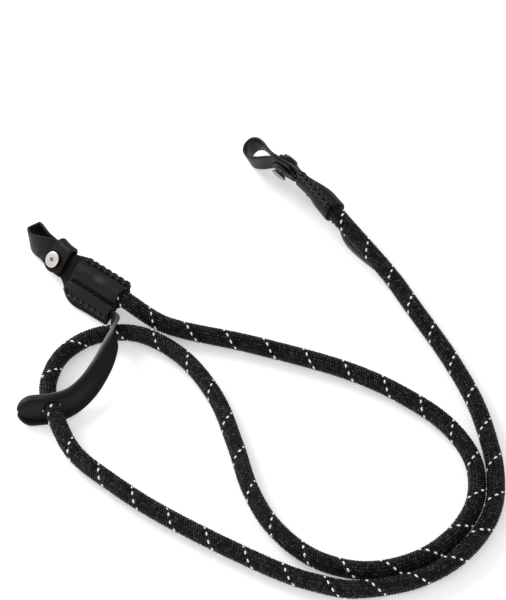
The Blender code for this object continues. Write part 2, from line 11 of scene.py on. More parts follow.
import bpy
import numpy as np
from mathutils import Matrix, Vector


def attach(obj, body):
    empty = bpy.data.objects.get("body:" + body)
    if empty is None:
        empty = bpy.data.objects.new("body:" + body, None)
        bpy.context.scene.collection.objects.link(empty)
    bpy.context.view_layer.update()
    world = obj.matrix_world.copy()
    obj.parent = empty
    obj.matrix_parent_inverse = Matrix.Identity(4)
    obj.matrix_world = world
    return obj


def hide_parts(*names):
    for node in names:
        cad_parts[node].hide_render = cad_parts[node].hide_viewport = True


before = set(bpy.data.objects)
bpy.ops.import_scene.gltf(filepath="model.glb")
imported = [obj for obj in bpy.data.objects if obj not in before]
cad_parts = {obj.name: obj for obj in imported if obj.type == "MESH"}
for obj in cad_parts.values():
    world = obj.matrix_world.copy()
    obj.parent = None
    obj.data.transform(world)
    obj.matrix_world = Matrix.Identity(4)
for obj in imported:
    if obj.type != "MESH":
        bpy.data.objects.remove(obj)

bl_info = {
    "name": "Braided Strap Looks",
    "version": (1, 0, 0),
    "blender": (4, 5, 0),
    "location": "View3D > Sidebar > Strap",
    "description": "Builds the braid, leather, stitches, screws and studio of a coiled strap",
    "category": "Object",
}

MM = 0.001
BODY = "root"

# The rope's middle line in metres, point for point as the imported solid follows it
ROPE_ROUTE = [
    (-0.0488, -0.0141, 0.0099), (-0.0425, -0.0191, 0.0100), (-0.0384, -0.0224, 0.0096),
    (-0.0240, -0.0315, 0.0060), (-0.0130, -0.0355, 0.0048), (0.0225, -0.0450, 0.0045),
    (0.0725, -0.0625, 0.0045), (0.0970, -0.0765, 0.0045), (0.1185, -0.0950, 0.0045),
    (0.1300, -0.1165, 0.0045), (0.1295, -0.1390, 0.0045), (0.1185, -0.1580, 0.0045),
    (0.1005, -0.1720, 0.0045), (0.0755, -0.1780, 0.0045), (0.0520, -0.1715, 0.0045),
    (0.0335, -0.1540, 0.0045), (0.0230, -0.1335, 0.0045), (0.0160, -0.1085, 0.0045),
    (0.0055, -0.0780, 0.0045), (-0.0125, -0.0520, 0.0045), (-0.0355, -0.0380, 0.0045),
    (-0.0570, -0.0400, 0.0045), (-0.0720, -0.0525, 0.0046), (-0.0775, -0.0690, 0.0048),
    (-0.0765, -0.0810, 0.0052), (-0.0735, -0.0895, 0.0068), (-0.0625, -0.1115, 0.0046),
    (-0.0425, -0.1300, 0.0045), (-0.0180, -0.1480, 0.0045), (0.0370, -0.1790, 0.0045),
    (0.0530, -0.1850, 0.0045), (0.0705, -0.1885, 0.0045), (0.0980, -0.1840, 0.0045),
    (0.1200, -0.1710, 0.0045), (0.1360, -0.1495, 0.0045), (0.1410, -0.1220, 0.0045),
    (0.1370, -0.0925, 0.0045), (0.1245, -0.0575, 0.0045), (0.1055, -0.0190, 0.0047),
    (0.0960, -0.0010, 0.0056), (0.0704, 0.0320, 0.0143), (0.0676, 0.0364, 0.0147),
    (0.0633, 0.0432, 0.0147),
]

# The braid along the rope: radius to the yarns' backs, and how far the yarns have slipped along it
BRAID = [
    ("along", "radius", "slip"),
    (0, 4.60, 0.0), (30, 4.60, -0.2), (60, 4.72, -0.6), (85, 4.78, -0.9), (125, 4.70, -1.7),
    (165, 4.62, -1.3), (205, 4.60, -1.8), (265, 4.60, -2.9), (305, 4.60, -4.8), (335, 4.50, -6.0),
    (385, 4.35, -5.5), (425, 4.35, -6.0), (465, 4.42, -5.4), (505, 4.46, -3.4), (545, 4.46, -2.4),
    (565, 4.46, -1.1), (585, 4.46, 2.1), (615, 4.46, 2.8), (655, 4.46, 3.25), (705, 4.45, 2.5),
    (765, 4.42, 0.8), (825, 4.50, -1.3), (885, 4.60, -0.4), (925, 4.64, -0.9), (975, 4.70, 0.5),
    (1005, 4.70, -0.5), (1030, 4.60, -1.6), (1056, 4.60, -1.6),
]

# How far the braid lies to the left of the solid's line, where two coils lie against each other
ASIDE = [
    ("along", "left"),
    (0, 0.0), (210, 0.0), (222, 0.10), (235, 0.25), (255, 0.58), (295, 0.62), (308, 0.50), (335, 0.0),
    (755, 0.0), (770, 0.42), (835, 0.55), (852, 0.25), (870, 0.72), (884, 1.05), (898, 0.60), (912, 0.12),
    (922, 0.0), (1056, 0.0),
]

# Leather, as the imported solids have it
LEATHER = 1.5               # wall of the band, sleeve and keeper
TAIL_LEATHER = 1.8
GAP = 0.3                   # air between two pieces that lie on each other
ROPE_DIAMETER = 8.5
CHANNEL_FLANK = 72.0        # slope of the channel's sides at the seams, in degrees
CHANNEL_CLEARANCE = 0.45    # air round the rope in its sleeve
BAND_BELOW = 6.4            # band's lower edge from the line through the screw
BAND_ABOVE = 7.6            # band's upper edge from that line
SLEEVE_LENGTH = 30.0
WIDEST = 0.8                # share of the sleeve's length where it is widest
SLEEVE_BELOW = 15.0
SLEEVE_ABOVE = 10.0
FLAP = 1.8                  # the band's lower edge that shows past the sleeve
SEAM_MARGIN = 2.4           # upper seam from the sleeve's edge
SEAM_LAND = 0.55            # flat leather between the rope's channel and a seam
ROPE_INSERT = 8.0           # length of rope inside the sleeve
CHANNEL_SHRINK = 0.2        # share of the channel's height that is lost behind the rope's end
SLEEVE_OPENING = 0.3        # how far the sleeve's unsewn far end stands off the band
LOOP_REACH = 70.0           # mouth of the sleeve to the tip of the loop
LOOP_START = 52.2
LOOP_DEPTHS = {"left": 6.2, "right": 8.6}  # how far each loop opens
LOOP_LEAD = 3.0             # straight band before the loop opens
LOOP_CLOSING = 2.0          # where the returning band is level again, before the loop's start
LOOP_CLOSED = 6.0
RETURN_END = 38.3           # where the band's end stops after the loop
SCREW_STATION = 44.0
KEEPER_LENGTH = 13.0
KEEPER_GAP = 0.5            # air under the keeper's leaves and under the barrel's flange
KEEPER_ROUND = 0.94         # share of the leaf's half width that its round end takes in
HEAD_DIAMETER = 8.6
HEAD_HEIGHT = 1.4
BARREL_DIAMETER = 6.8
BARREL_STANDS = {"left": 0.6, "right": 1.6}  # barrel that shows between the keeper and the head
FLANGE_DIAMETER = 9.0
FLANGE_HEIGHT = 1.2
CROSS_DEPTH = 0.7
TAIL_INSERT = 5.0           # length of tail sewn into the sleeve
TAIL_MOUTH_WIDTH = 4.2
TAIL_PLAY = 0.15            # extra air above and below the tail in the sleeve
TAIL_CHANNEL_WIDTH = 7.2
TAIL_TOP = 0.76             # share of the tail's channel that is at its full height
TAIL_SIZES = {"left": (14.6, 60.0), "right": (9.2, 36.0)}  # width, and reach from the mouth
CREASE = 2.4                # how sharply a tail steps down under the rope

# The pattern's edges: station as a share of the sleeve's length, then the share of the way from the
# band's edge out to the sleeve's edge, below and above
EDGES = [
    ("station", "below", "above"),
    (0.00, 0.97, 1.0), (0.40, 1.0, 1.0), (0.80, 1.0, 1.0), (1.02, 0.66, 0.9),
    (1.16, 0.22, 0.5), (1.27, 0.0, 0.2), (1.42, 0.0, 0.0), (1.60, 0.0, 0.0), (2.60, 0.0, 0.0),
]

# The loop's section: station as a share of the way from its start to its tip, depth as a share
LOOP = [
    ("station", "depth"),
    (0.25, -0.10), (0.55, -0.28), (0.80, -0.30), (0.95, -0.12), (1.0, 0.22), (0.96, 0.58),
    (0.84, 0.86), (0.62, 1.0), (0.34, 0.80), (0.08, 0.42),
]

# How each fitting lies: the plan of the line through its screw, as shares of the loop's reach from the
# mouth, and its roll in degrees, where 0 is flat on its back and 90 on its lower edge
REST_CLEARANCE = 0.35       # lowest point of a fitting over the surface
MOUTHS = {"left": (-43.1, -19.8), "right": (68.9, 37.2)}
PLANS = {
    "left": [("x", "y"), (0.0, 0.0), (-0.32, 0.255), (-0.48, 0.395), (-0.66, 0.69)],
    "right": [("x", "y"), (0.0, 0.0), (-0.229, 0.353), (-0.407, 0.525), (-0.66, 0.79)],
}
ROLLS = {
    "left": [("station", "roll"), (0.0, 30), (0.40, 30), (0.48, 36), (0.55, 41), (0.63, 42),
             (0.71, 43), (0.79, 65), (0.86, 85), (0.93, 92), (1.1, 93)],
    "right": [("station", "roll"), (0.0, 118), (0.43, 118), (0.55, 116), (0.71, 116), (0.85, 114),
              (1.1, 113)],
}
NECK_LIFT = {"left": 0.0, "right": 3.5}  # the screw's height over its lowest possible one
KEEPER_FOLD = {"left": 1, "right": -1}   # the keeper folds round the upper or the lower edge

# Each tail's middle line past the mouth: x and y as shares of its reach, height in rope diameters,
# width as a share of its widest, roll in degrees and how far its section creases from flat to an S
TAILS = {
    "left": [
        ("x", "y", "height", "width", "roll", "crease"),
        (0.03, -0.03, 0.74, 0.32, 34, 0.0),
        (0.04, -0.15, 1.12, 0.46, 60, 0.0),
        (0.035, -0.29, 1.60, 0.50, 86, 0.0),
        (0.03, -0.42, 1.56, 0.68, 122, 0.0),
        (-0.045, -0.62, 1.22, 0.78, 140, 0.2),
        (-0.15, -0.80, 0.92, 0.87, 136, 0.5),
        (-0.28, -0.935, 0.78, 0.92, 133, 0.8),
        (-0.435, -1.005, 0.755, 0.98, 134, 1.0),
        (-0.59, -1.025, 0.73, 1.0, 138, 1.0),
    ],
    "right": [
        ("x", "y", "height", "width", "roll", "crease"),
        (0.03, -0.05, 0.61, 0.46, 119, 0.0),
        (0.08, -0.19, 0.42, 0.80, 142, 0.0),
        (0.20, -0.37, 0.22, 0.94, 168, 0.0),
        (0.395, -0.57, 0.14, 1.0, 180, 0.0),
        (0.54, -0.725, 0.14, 1.0, 180, 0.0),
    ],
}

# Heights in the stack at the screw, and the sleeve's seams and channels
LAYER = LEATHER + GAP
FRONT_LEAF = LAYER + LEATHER + KEEPER_GAP
FOLD_RADIUS = FRONT_LEAF - LAYER / 2
BACK_OF_STACK = FRONT_LEAF - LAYER + LEATHER / 2
FRONT_OF_STACK = FRONT_LEAF + LEATHER / 2
BACK_OF_BARREL = BACK_OF_STACK + KEEPER_GAP + FLANGE_HEIGHT
SEAM_HEIGHT = LAYER / 2
CHANNEL_RADIUS = ROPE_DIAMETER / 2 + CHANNEL_CLEARANCE + LEATHER / 2
FLANK = math.radians(CHANNEL_FLANK)
CHANNEL_HALF = CHANNEL_RADIUS / math.sin(FLANK) - SEAM_HEIGHT / math.tan(FLANK)
UPPER_SEAM = SLEEVE_ABOVE - SEAM_MARGIN
CHANNEL_Q = UPPER_SEAM - SEAM_LAND - CHANNEL_HALF
MIDDLE_SEAM = CHANNEL_Q - CHANNEL_HALF - SEAM_LAND
TAIL_Q = MIDDLE_SEAM - SEAM_LAND - TAIL_CHANNEL_WIDTH / 2
TAIL_D = LEATHER / 2 + GAP + TAIL_PLAY + TAIL_LEATHER / 2
TAIL_BUMP = TAIL_LEATHER + GAP + 2 * TAIL_PLAY

# Leather, in the looks alone
SEAM_INSET = 0.35           # the lower stitches from the edge of the tail's channel
LOWER_SEAM = TAIL_Q - TAIL_CHANNEL_WIDTH / 2 + SEAM_INSET
RIM = 0.42                  # rounding of a cut leather edge
RIM_ANGLES = np.radians([0, 24, 46, 66, 90])
RIM_FULLNESS = 0.7          # power of the rounding's sine: the lower, the squarer the edge
CORNER = 2.0                # rounding of the sleeve's upper corner at the mouth
NOTCH = 0.6                 # depth of the notch that each whip stitch pulls into the edge
GROOVE = 0.75               # half width of the groove that a row of stitches pulls in
GROOVE_BEAT = 0.45          # share of the groove's depth that comes and goes with the stitches
GROOVE_FADE = 2.0           # the groove fades over this length at both ends of the sleeve
BAND_PULL = 0.55            # share of the groove's depth that the band takes on
FOLD_DEPTH = 0.06           # of the sleeve's soft folds
SEAM_SHADE = 0.9            # half width of the dark line along a row of stitches
CREST = 2.5                 # half width of the painted shade, a line along a row of stitches
PRESS_DEPTH = 0.30          # how deep the barrel presses the keeper's leather
PRESS_WIDTH = 0.8
KEEPER_TRIM = 0.97          # share of the solid keeper's width that is shown
POLISHED_EDGE_AND_HIGHLIGHT_WIDTH = 1.2                # width of the tails' polished edge, which is paler also as a painted highlight
TIP_ANGLES = [12, 24, 35, 46, 56, 65, 73, 80, 85, 88.5]  # rows of a tail's round end, on its arc
TIP_FULLNESS = 0.35         # how square the rim of that end is, as above
SLIT_SPAN = (480.0, 640.0)  # the left tail lies on the rope and round it between these distances
SLIT_RADIUS = 4.60          # of the hole in the left tail
SLIT_CREASE = 50.0          # edges that bend by more than this many degrees are sharp

# Stitches
PLY_RADIUS = 1.15           # of a thread, over the named radius
PLY_TURNS = 7.0             # how far the thread's two plies wind in a stitch, in radians
WHIP_REACH = 118.0          # a whip stitch goes this far round from the edge to each face, in degrees
WHIP_TUCK = 28.0            # the last degrees of it that go into the leather
WHIP_SLANT = 0.7            # how much further along the sleeve it is on the front than at the edge
WHIP_SEAT = 0.1             # its holes' distance above the upper seam
STRAND_APART = 0.9          # half the distance between its two strands, in thread radii
FACE_MARGIN = 1.1           # the least leather under the lower row
FACE_LEAN = 0.25            # a cross stitch's two strands are this share of the pitch apart
FACE_STITCHES = [
    ("seam", "span", "run", "squeeze", "shift"),
    (MIDDLE_SEAM, 2.0, 0.62, 1.0, 0.0), (LOWER_SEAM, 1.5, 0.60, 0.93, -0.5),
]

# Screws
HEAD_CROSS = (2.7, 0.56)    # length and width of the cross in a screw's head
DOME = (0.30, 2.5)          # how far the head's face falls to its edge, and the power of that curve
DOME_EDGE = 0.90            # share of the head's radius where its rolled edge begins
ROLLED_EDGE = 0.46          # height of that edge

# Braid
CARRIERS = 32               # yarns in the braid, half of them wound each way
REST_HEIGHT = 4.5           # of the middle line's lowest stretches, as in the route
CORE_SHARE = 0.90           # the core's diameter as a share of the rope's
FLOAT_LENGTH = 1.22         # of a yarn on top, over the two yarns that it crosses
TRACER_WIDTH = 0.86         # of the white yarn, as a share of a black one's
FLOAT_VARIES = (0.06, 0.05)            # in length and width, as shares
YARN_STRAYS = (0.09, 0.05, 0.07)       # along the rope, down into it, and in lay
FLOAT_RINGS = (-0.36, 0.0, 0.36)       # places of a float's rings, as shares of its length
FLOAT_TAPER = 0.62                     # how much a float narrows towards its tips
DRAW = 7                    # seed of the yarns' small differences


class RopeLooks(bpy.types.PropertyGroup):
    pitch: bpy.props.FloatProperty(
        name="Tracer pitch", description="Length of rope in which a yarn goes once round it",
        default=0.02117, unit="LENGTH", subtype="DISTANCE")
    yarn_width: bpy.props.FloatProperty(
        name="Yarn width", description="Width of one yarn where it lies on top",
        default=0.00114, unit="LENGTH", subtype="DISTANCE")
    lay: bpy.props.FloatProperty(
        name="Yarn lay",
        description="How much more a yarn lies across the rope on top than its helix does",
        default=math.radians(12), unit="ROTATION", subtype="ANGLE")
    yarn_rise: bpy.props.FloatProperty(
        name="Yarn thickness", description="Thickness of one yarn where it lies on top",
        default=0.00058, unit="LENGTH", subtype="DISTANCE")
    dive: bpy.props.FloatProperty(
        name="Dive", description="How far a yarn's ends go down under its neighbours",
        default=0.00052, unit="LENGTH", subtype="DISTANCE")
    tracer_start: bpy.props.FloatProperty(
        name="Tracer start", description="Distance along the rope to the tracer's first place on top",
        default=0.0259, unit="LENGTH", subtype="DISTANCE")
    yarn_colour: bpy.props.FloatVectorProperty(
        name="Yarn", description="Colour of the black yarn", subtype="COLOR", size=3,
        default=(0.0035, 0.0035, 0.0037))
    tracer_colour: bpy.props.FloatVectorProperty(
        name="Tracer", description="Colour of the tracer yarn", subtype="COLOR", size=3,
        default=(0.93, 0.925, 0.91))


class LeatherLooks(bpy.types.PropertyGroup):
    stitch_pitch: bpy.props.FloatProperty(
        name="Stitch pitch", description="Distance from one stitch to the next",
        default=0.0042, unit="LENGTH", subtype="DISTANCE")
    thread: bpy.props.FloatProperty(
        name="Thread", description="Radius of the sewing thread",
        default=0.00050, unit="LENGTH", subtype="DISTANCE")
    pucker: bpy.props.FloatProperty(
        name="Pucker", description="How deep the stitches pull the leather in",
        default=0.00055, unit="LENGTH", subtype="DISTANCE")
    leather_colour: bpy.props.FloatVectorProperty(
        name="Leather", description="Colour of the leather's face", subtype="COLOR", size=3,
        default=(0.0055, 0.0053, 0.0054))
    edge_colour: bpy.props.FloatVectorProperty(
        name="Cut edge", description="Colour of the leather's burnished edge", subtype="COLOR", size=3,
        default=(0.018, 0.0175, 0.018))
    # The tails' edge colour is paler than a cut edge alone: partly a painted highlight
    tail_edge_and_highlight_colour: bpy.props.FloatVectorProperty(
        name="Tail's edge", description="Colour of the tails' paler polished edge",
        subtype="COLOR", size=3, default=(0.18, 0.175, 0.18))
    thread_colour: bpy.props.FloatVectorProperty(
        name="Thread colour", description="Colour of the waxed thread", subtype="COLOR", size=3,
        default=(0.004, 0.004, 0.004))


class StageLooks(bpy.types.PropertyGroup):
    floor_colour: bpy.props.FloatVectorProperty(
        name="Floor", description="Colour of the floor", subtype="COLOR", size=3,
        default=(0.93, 0.93, 0.93))
    eye: bpy.props.FloatVectorProperty(
        name="View's place", description="Where the view is taken from", subtype="TRANSLATION", size=3,
        default=(0.0242, -0.6455, 0.755))
    tilt: bpy.props.FloatProperty(
        name="View's tilt", description="Turn of the view up from straight down",
        default=math.radians(40), unit="ROTATION", subtype="ANGLE")
    focal: bpy.props.FloatProperty(
        name="Focal length", description="Focal length of the view in millimetres", default=114.0)


# Curves and tables

def smooth_line(points, per_span=24):
    """A smooth curve through the points.

    It is a Catmull-Rom spline whose knots are the roots of its chords' lengths.
    """
    p = np.asarray(points, float)
    p = np.vstack([2 * p[0] - p[1], p, 2 * p[-1] - p[-2]])
    knot = np.concatenate([[0], np.cumsum(np.linalg.norm(np.diff(p, axis=0), axis=1) ** 0.5)])
    pieces = []
    for i in range(1, len(p) - 2):
        t = np.linspace(knot[i], knot[i + 1], per_span, endpoint=False)[:, None]
        k = knot[i - 1:i + 3]
        a = [((k[j + 1] - t) * p[i - 1 + j] + (t - k[j]) * p[i + j]) / (k[j + 1] - k[j])
             for j in range(3)]
        b = [((k[j + 2] - t) * a[j] + (t - k[j]) * a[j + 1]) / (k[j + 2] - k[j])
             for j in range(2)]
        pieces.append(((k[2] - t) * b[0] + (t - k[1]) * b[1]) / (k[2] - k[1]))
    return np.vstack([*pieces, p[-2]])


def lengths(line):
    """Distance along a line at each of its points."""
    return np.concatenate([[0], np.cumsum(np.linalg.norm(np.diff(line, axis=0), axis=1))])


def at_lengths(line, along, where):
    """The line's columns at the given distances along it."""
    return np.stack([np.interp(where, along, line[:, k]) for k in range(line.shape[1])], axis=-1)


def table(rows):
    """The rows under a table's column names."""
    return np.array(rows[1:], float)


def ease(x):
    """3x^2 - 2x^3, a smooth step from 0 to 1."""
    return x * x * (3 - 2 * x)


def unit(v):
    """Vectors along the last axis, scaled to length 1."""
    return v / np.linalg.norm(v, axis=-1, keepdims=True)


def rimmed(length, count):
    """Distances along a length, close together at its rounded ends, and the wall's share at each.

    A cut edge is a full quarter round at each face: RIM (1 - cos a) in from the edge, the wall's share is
    sin(a) to the power RIM_FULLNESS.
    """
    start = RIM * (1 - np.cos(RIM_ANGLES))
    share = np.sin(RIM_ANGLES) ** RIM_FULLNESS
    middle = np.linspace(RIM, length - RIM, count)[1:-1]
    where = np.concatenate([start, middle, length - start[::-1]])
    return where, np.concatenate([share, np.ones(len(middle)), share[::-1]])


class Fitting:
    """One leather end: the flat pattern (s, q, d), bent to the way it lies."""

    def __init__(self, side):
        self.side = side
        plan = smooth_line(table(PLANS[side]) * LOOP_REACH + np.array(MOUTHS[side]))
        self.along = lengths(plan)
        self.plan = plan
        step = np.gradient(plan, self.along, axis=0)
        self.heading = np.unwrap(np.arctan2(step[:, 1], step[:, 0]))
        edges = smooth_line(table(EDGES) * (SLEEVE_LENGTH, 1, 1))
        self.edge_s, self.below_share, self.above_share = edges.T
        rolls = smooth_line(table(ROLLS[side]) * (LOOP_REACH, 1))
        self.roll_s, self.rolls = rolls.T
        stations = np.array([0, WIDEST * SLEEVE_LENGTH, SCREW_STATION, LOOP_REACH])
        rest = smooth_line(np.stack([stations, [self.rest_height(s) for s in stations]], axis=1))
        self.rest_s, self.rests = rest.T

    def below(self, s):
        """Distance from the screw's line down to the pattern's lower edge."""
        share = np.interp(s, self.edge_s, self.below_share)
        return BAND_BELOW + (SLEEVE_BELOW - BAND_BELOW) * share

    def above(self, s):
        """Distance from the screw's line up to the pattern's upper edge."""
        share = np.interp(s, self.edge_s, self.above_share)
        return BAND_ABOVE + (SLEEVE_ABOVE - BAND_ABOVE) * share

    def roll(self, s):
        """Turn of the pattern about the screw's line, in radians."""
        return np.radians(np.interp(s, self.roll_s, self.rolls))

    def rest_height(self, s):
        """Height of the screw's line at which the pattern's lowest point lies on the surface."""
        roll = float(self.roll(s))
        wall = LEATHER / 2 * abs(math.cos(roll))
        lowest = [(self.below(s), 0.0)]
        if s == SCREW_STATION:
            lowest.append((FLANGE_DIAMETER / 2, -BACK_OF_BARREL))
            if KEEPER_FOLD[self.side] < 0:
                lowest.append((BAND_BELOW + FOLD_RADIUS + LEATHER / 2, LAYER / 2))
        if s == LOOP_REACH:
            depths = table(LOOP)[:, 1] * LOOP_DEPTHS[self.side]
            lowest += [(self.below(s), depths.min()), (self.below(s), depths.max())]
        lift = NECK_LIFT[self.side] if s == SCREW_STATION else 0.0
        deepest = max(q * math.sin(roll) - d * math.cos(roll) for q, d in lowest)
        return REST_CLEARANCE + lift + wall + deepest

    def axes(self, s):
        """The pattern's along, across and outward directions at s, and the screw line's place."""
        s = np.asarray(s, float)
        heading = np.interp(s, self.along, self.heading)
        roll = self.roll(s)
        flat = np.zeros_like(s)
        forward = np.stack([np.cos(heading), np.sin(heading), flat], axis=-1)
        side = np.stack([np.sin(heading), -np.cos(heading), flat], axis=-1)
        up = np.array([0.0, 0.0, 1.0])
        across = np.cos(roll)[..., None] * side + np.sin(roll)[..., None] * up
        outward = -np.sin(roll)[..., None] * side + np.cos(roll)[..., None] * up
        place = np.stack([np.interp(s, self.along, self.plan[:, 0]),
                          np.interp(s, self.along, self.plan[:, 1]),
                          np.interp(s, self.rest_s, self.rests)], axis=-1)
        return place, forward, across, outward

    def place(self, s, q, d):
        """Where a point of the flat pattern lies."""
        s, q, d = np.broadcast_arrays(*(np.asarray(v, float) for v in (s, q, d)))
        origin, _, across, outward = self.axes(s)
        return origin + q[..., None] * across + d[..., None] * outward

    def screw_frame(self):
        """The screw's place and its three directions, with the last one outward through the keeper."""
        place, forward, across, outward = self.axes(SCREW_STATION)
        if np.dot(np.cross(forward, across), outward) < 0:
            forward = -forward
        return place, forward, across, outward


# Meshes

def put_mesh(name, points, faces, material, uv=None, values=None):
    """A shown piece from points in millimetres and quads or triangles, with what its material reads."""
    mesh = bpy.data.meshes.new(name)
    mesh.from_pydata((points * MM).tolist(), [], faces)
    mesh.shade_smooth()
    if uv is not None:
        corner = np.empty(len(mesh.loops), int)
        mesh.loops.foreach_get("vertex_index", corner)
        layer = mesh.uv_layers.new(name="UVMap")
        layer.uv.foreach_set("vector", uv[corner].astype(np.float32).ravel())
    for key, value in (values or {}).items():
        attribute = mesh.attributes.new(key, "FLOAT", "POINT")
        attribute.data.foreach_set("value", value.astype(np.float32).ravel())
    mesh.materials.append(material)
    piece = bpy.data.objects.new(name, mesh)
    bpy.context.scene.collection.objects.link(piece)
    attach(piece, BODY)
    return piece


def outward(points, faces):
    """The same faces, turned round if they point inwards, by the sign of the closed mesh's volume."""
    quads = np.asarray(faces)
    a, b, c, d = (points[quads[:, k]] for k in range(4))
    volume = sum(np.einsum("ij,ij->i", a, np.cross(*pair)).sum() for pair in ((b, c), (c, d)))
    return quads[:, ::-1] if volume < 0 else quads


def shell(name, grid, wall, shares, pattern, material, stress=None, seam=None, polished_edge_and_highlight=None):
    """A closed sheet about a grid of its middle points.

    Each point goes half the wall times its share out along the surface's normal, on both faces. The share
    is 0 on the border, where the two faces meet. The material reads how bare and stretched the leather
    is,
    and the painted shade along the seams: the bare edge is 1 - share^2 unless it is given, and a tail's
    given edge also carries a painted highlight.
    """
    rows, columns = grid.shape[:2]
    normal = unit(np.cross(np.gradient(grid, axis=0), np.gradient(grid, axis=1)))
    half = (wall / 2 * shares)[..., None] * normal
    front = np.arange(rows * columns).reshape(rows, columns)
    back = front + rows * columns
    border = shares <= 0
    back[border] = front[border]
    quads = [np.stack([g[:-1, :-1], g[1:, :-1], g[1:, 1:], g[:-1, 1:]], axis=-1).reshape(-1, 4)
             for g in (front, back[:, ::-1])]
    points = np.concatenate([(grid + half).reshape(-1, 3), (grid - half).reshape(-1, 3)])
    faces = outward(points, np.vstack(quads))
    used, faces = np.unique(faces, return_inverse=True)
    faces = faces.reshape(-1, 4)
    plain_face = np.zeros_like(shares)
    # seam is painted shade: the material darkens the colour along the rows of stitches by it
    edge, stretch, sunk = (np.tile((plain_face if part is None else part).ravel(), 2)[used]
                           for part in (1 - shares ** 2 if polished_edge_and_highlight is None else polished_edge_and_highlight, stress, seam))
    uv = np.tile(pattern.reshape(-1, 2), (2, 1))[used] * MM
    return put_mesh(name, points[used], faces.tolist(), material, uv,
                    {"edge": edge, "stretch": stretch, "seam": sunk})


def tube(centres, side, up, radius, sides):
    """Points and faces of closed tubes: rings about each row of centres, with a fan at both ends.

    A ring is centre + radius (cos a side + sin a up). centres is tubes x rings x 3.
    """
    count, rings = centres.shape[:2]
    angle = np.linspace(0, 2 * math.pi, sides, endpoint=False)
    circle = np.cos(angle)[:, None] * side[:, :, None] + np.sin(angle)[:, None] * up[:, :, None]
    walls = centres[:, :, None] + radius[..., None] * circle
    each = rings * sides + 2
    points = np.concatenate([walls.reshape(count, -1, 3), centres[:, :1], centres[:, -1:]], axis=1)
    index = np.arange(rings * sides).reshape(rings, sides)
    turned = np.roll(index, -1, axis=1)
    quads = np.stack([index[:-1], index[1:], turned[1:], turned[:-1]], axis=-1).reshape(-1, 4)
    first = np.stack([index[0], turned[0], np.full(sides, rings * sides)], axis=-1)
    last = np.stack([turned[-1], index[-1], np.full(sides, rings * sides + 1)], axis=-1)
    offset = (np.arange(count) * each)[:, None, None]
    faces = (quads + offset).reshape(-1, 4).tolist()
    faces += (np.vstack([first, last]) + offset).reshape(-1, 3).tolist()
    return points.reshape(-1, 3), faces


# Sections of the sleeve and band

def channel_share(s):
    """Height of the rope's channel at s as a share: it sinks smoothly behind the rope's end."""
    behind = np.clip((s - ROPE_INSERT) / (SLEEVE_LENGTH - ROPE_INSERT) * 2, 0, 1)
    return 1 - CHANNEL_SHRINK * ease(behind)


def channel(q):
    """Height of the channel's wall above a seam's level: round over the rope, straight at its sides."""
    x = np.abs(q - CHANNEL_Q)
    touch = CHANNEL_RADIUS * math.sin(FLANK)
    arc = np.sqrt(CHANNEL_RADIUS ** 2 - np.minimum(x, touch) ** 2)
    side = CHANNEL_RADIUS * math.cos(FLANK) - (x - touch) * math.tan(FLANK)
    return np.maximum(np.where(x < touch, arc, side) - SEAM_HEIGHT, 0)


def tail_bump(q):
    """Height of the low bump over the tail: flat on top, with a smooth step at both sides."""
    half = TAIL_CHANNEL_WIDTH / 2
    return TAIL_BUMP * ease(np.clip((half - np.abs(q - TAIL_Q)) / (half * (1 - TAIL_TOP)), 0, 1))


def band_depth(s, q):
    """The band swells away from the rope inside the sleeve and is flat from the keeper on."""
    fade = 1 - ease(np.clip((s - ROPE_INSERT) / (SLEEVE_LENGTH + LAYER - ROPE_INSERT), 0, 1))
    return -channel(q) * fade


def stitch_places(pitch):
    """Where each stitch of a row is centred, at an even pitch between the sleeve's ends."""
    count = int(SLEEVE_LENGTH / pitch)
    return SLEEVE_LENGTH / 2 + pitch * (np.arange(count) - (count - 1) / 2)


def pulled(s, q, seam, looks):
    """How far a row of stitches pulls the leather in: a groove, deepest at each stitch.

    depth e^(-((q - seam)/w)^2) (1 - b + b cos(2 pi (s - s0)/pitch)), where b is GROOVE_BEAT, with a
    smooth step down to nothing at both ends of the sleeve.
    """
    pitch = looks.stitch_pitch / MM
    wave = np.cos(2 * math.pi * (s - SLEEVE_LENGTH / 2) / pitch)
    beat = 1 - GROOVE_BEAT + GROOVE_BEAT * wave
    ends = (ease(np.clip(s / GROOVE_FADE, 0, 1))
            * ease(np.clip((SLEEVE_LENGTH - s) / GROOVE_FADE, 0, 1)))
    return looks.pucker / MM * np.exp(-((q - seam) / GROOVE) ** 2) * beat * ends


def pulled_by_all(s, q, looks):
    """The pull of the sleeve's three rows of stitches together."""
    return sum(pulled(s, q, seam, looks) for seam in (UPPER_SEAM, MIDDLE_SEAM, LOWER_SEAM))


def notches(s, looks):
    """How far the whip stitches pull the upper edge in: depth (0.5 + 0.5 cos(2 pi (s - s0)/pitch))^2."""
    beat = 0.5 + 0.5 * np.cos(2 * math.pi * (s - SLEEVE_LENGTH / 2) / (looks.stitch_pitch / MM))
    return NOTCH * beat ** 2 * (s < SLEEVE_LENGTH)


def sleeve_depth(s, q, looks):
    """Middle of the sleeve's leather off the band's middle: channel, tail's bump, soft folds and seams.

    The folds are the product of two slow waves, one across the channel and one aslant.
    """
    opening = SLEEVE_OPENING * (s / SLEEVE_LENGTH) ** 4
    folds = FOLD_DEPTH * np.sin(0.55 * s + 0.5 * q) * np.sin(0.31 * q + 1.0) * (channel(q) > 0)
    height = LAYER + opening + channel(q) * channel_share(s) + tail_bump(q)
    return height + folds - pulled_by_all(s, q, looks)


def corner(s):
    """How much lower the upper edge is near the mouth, where its corner is a quarter circle."""
    return CORNER * (1 - np.sqrt(1 - np.clip(1 - s / CORNER, 0, 1) ** 2))


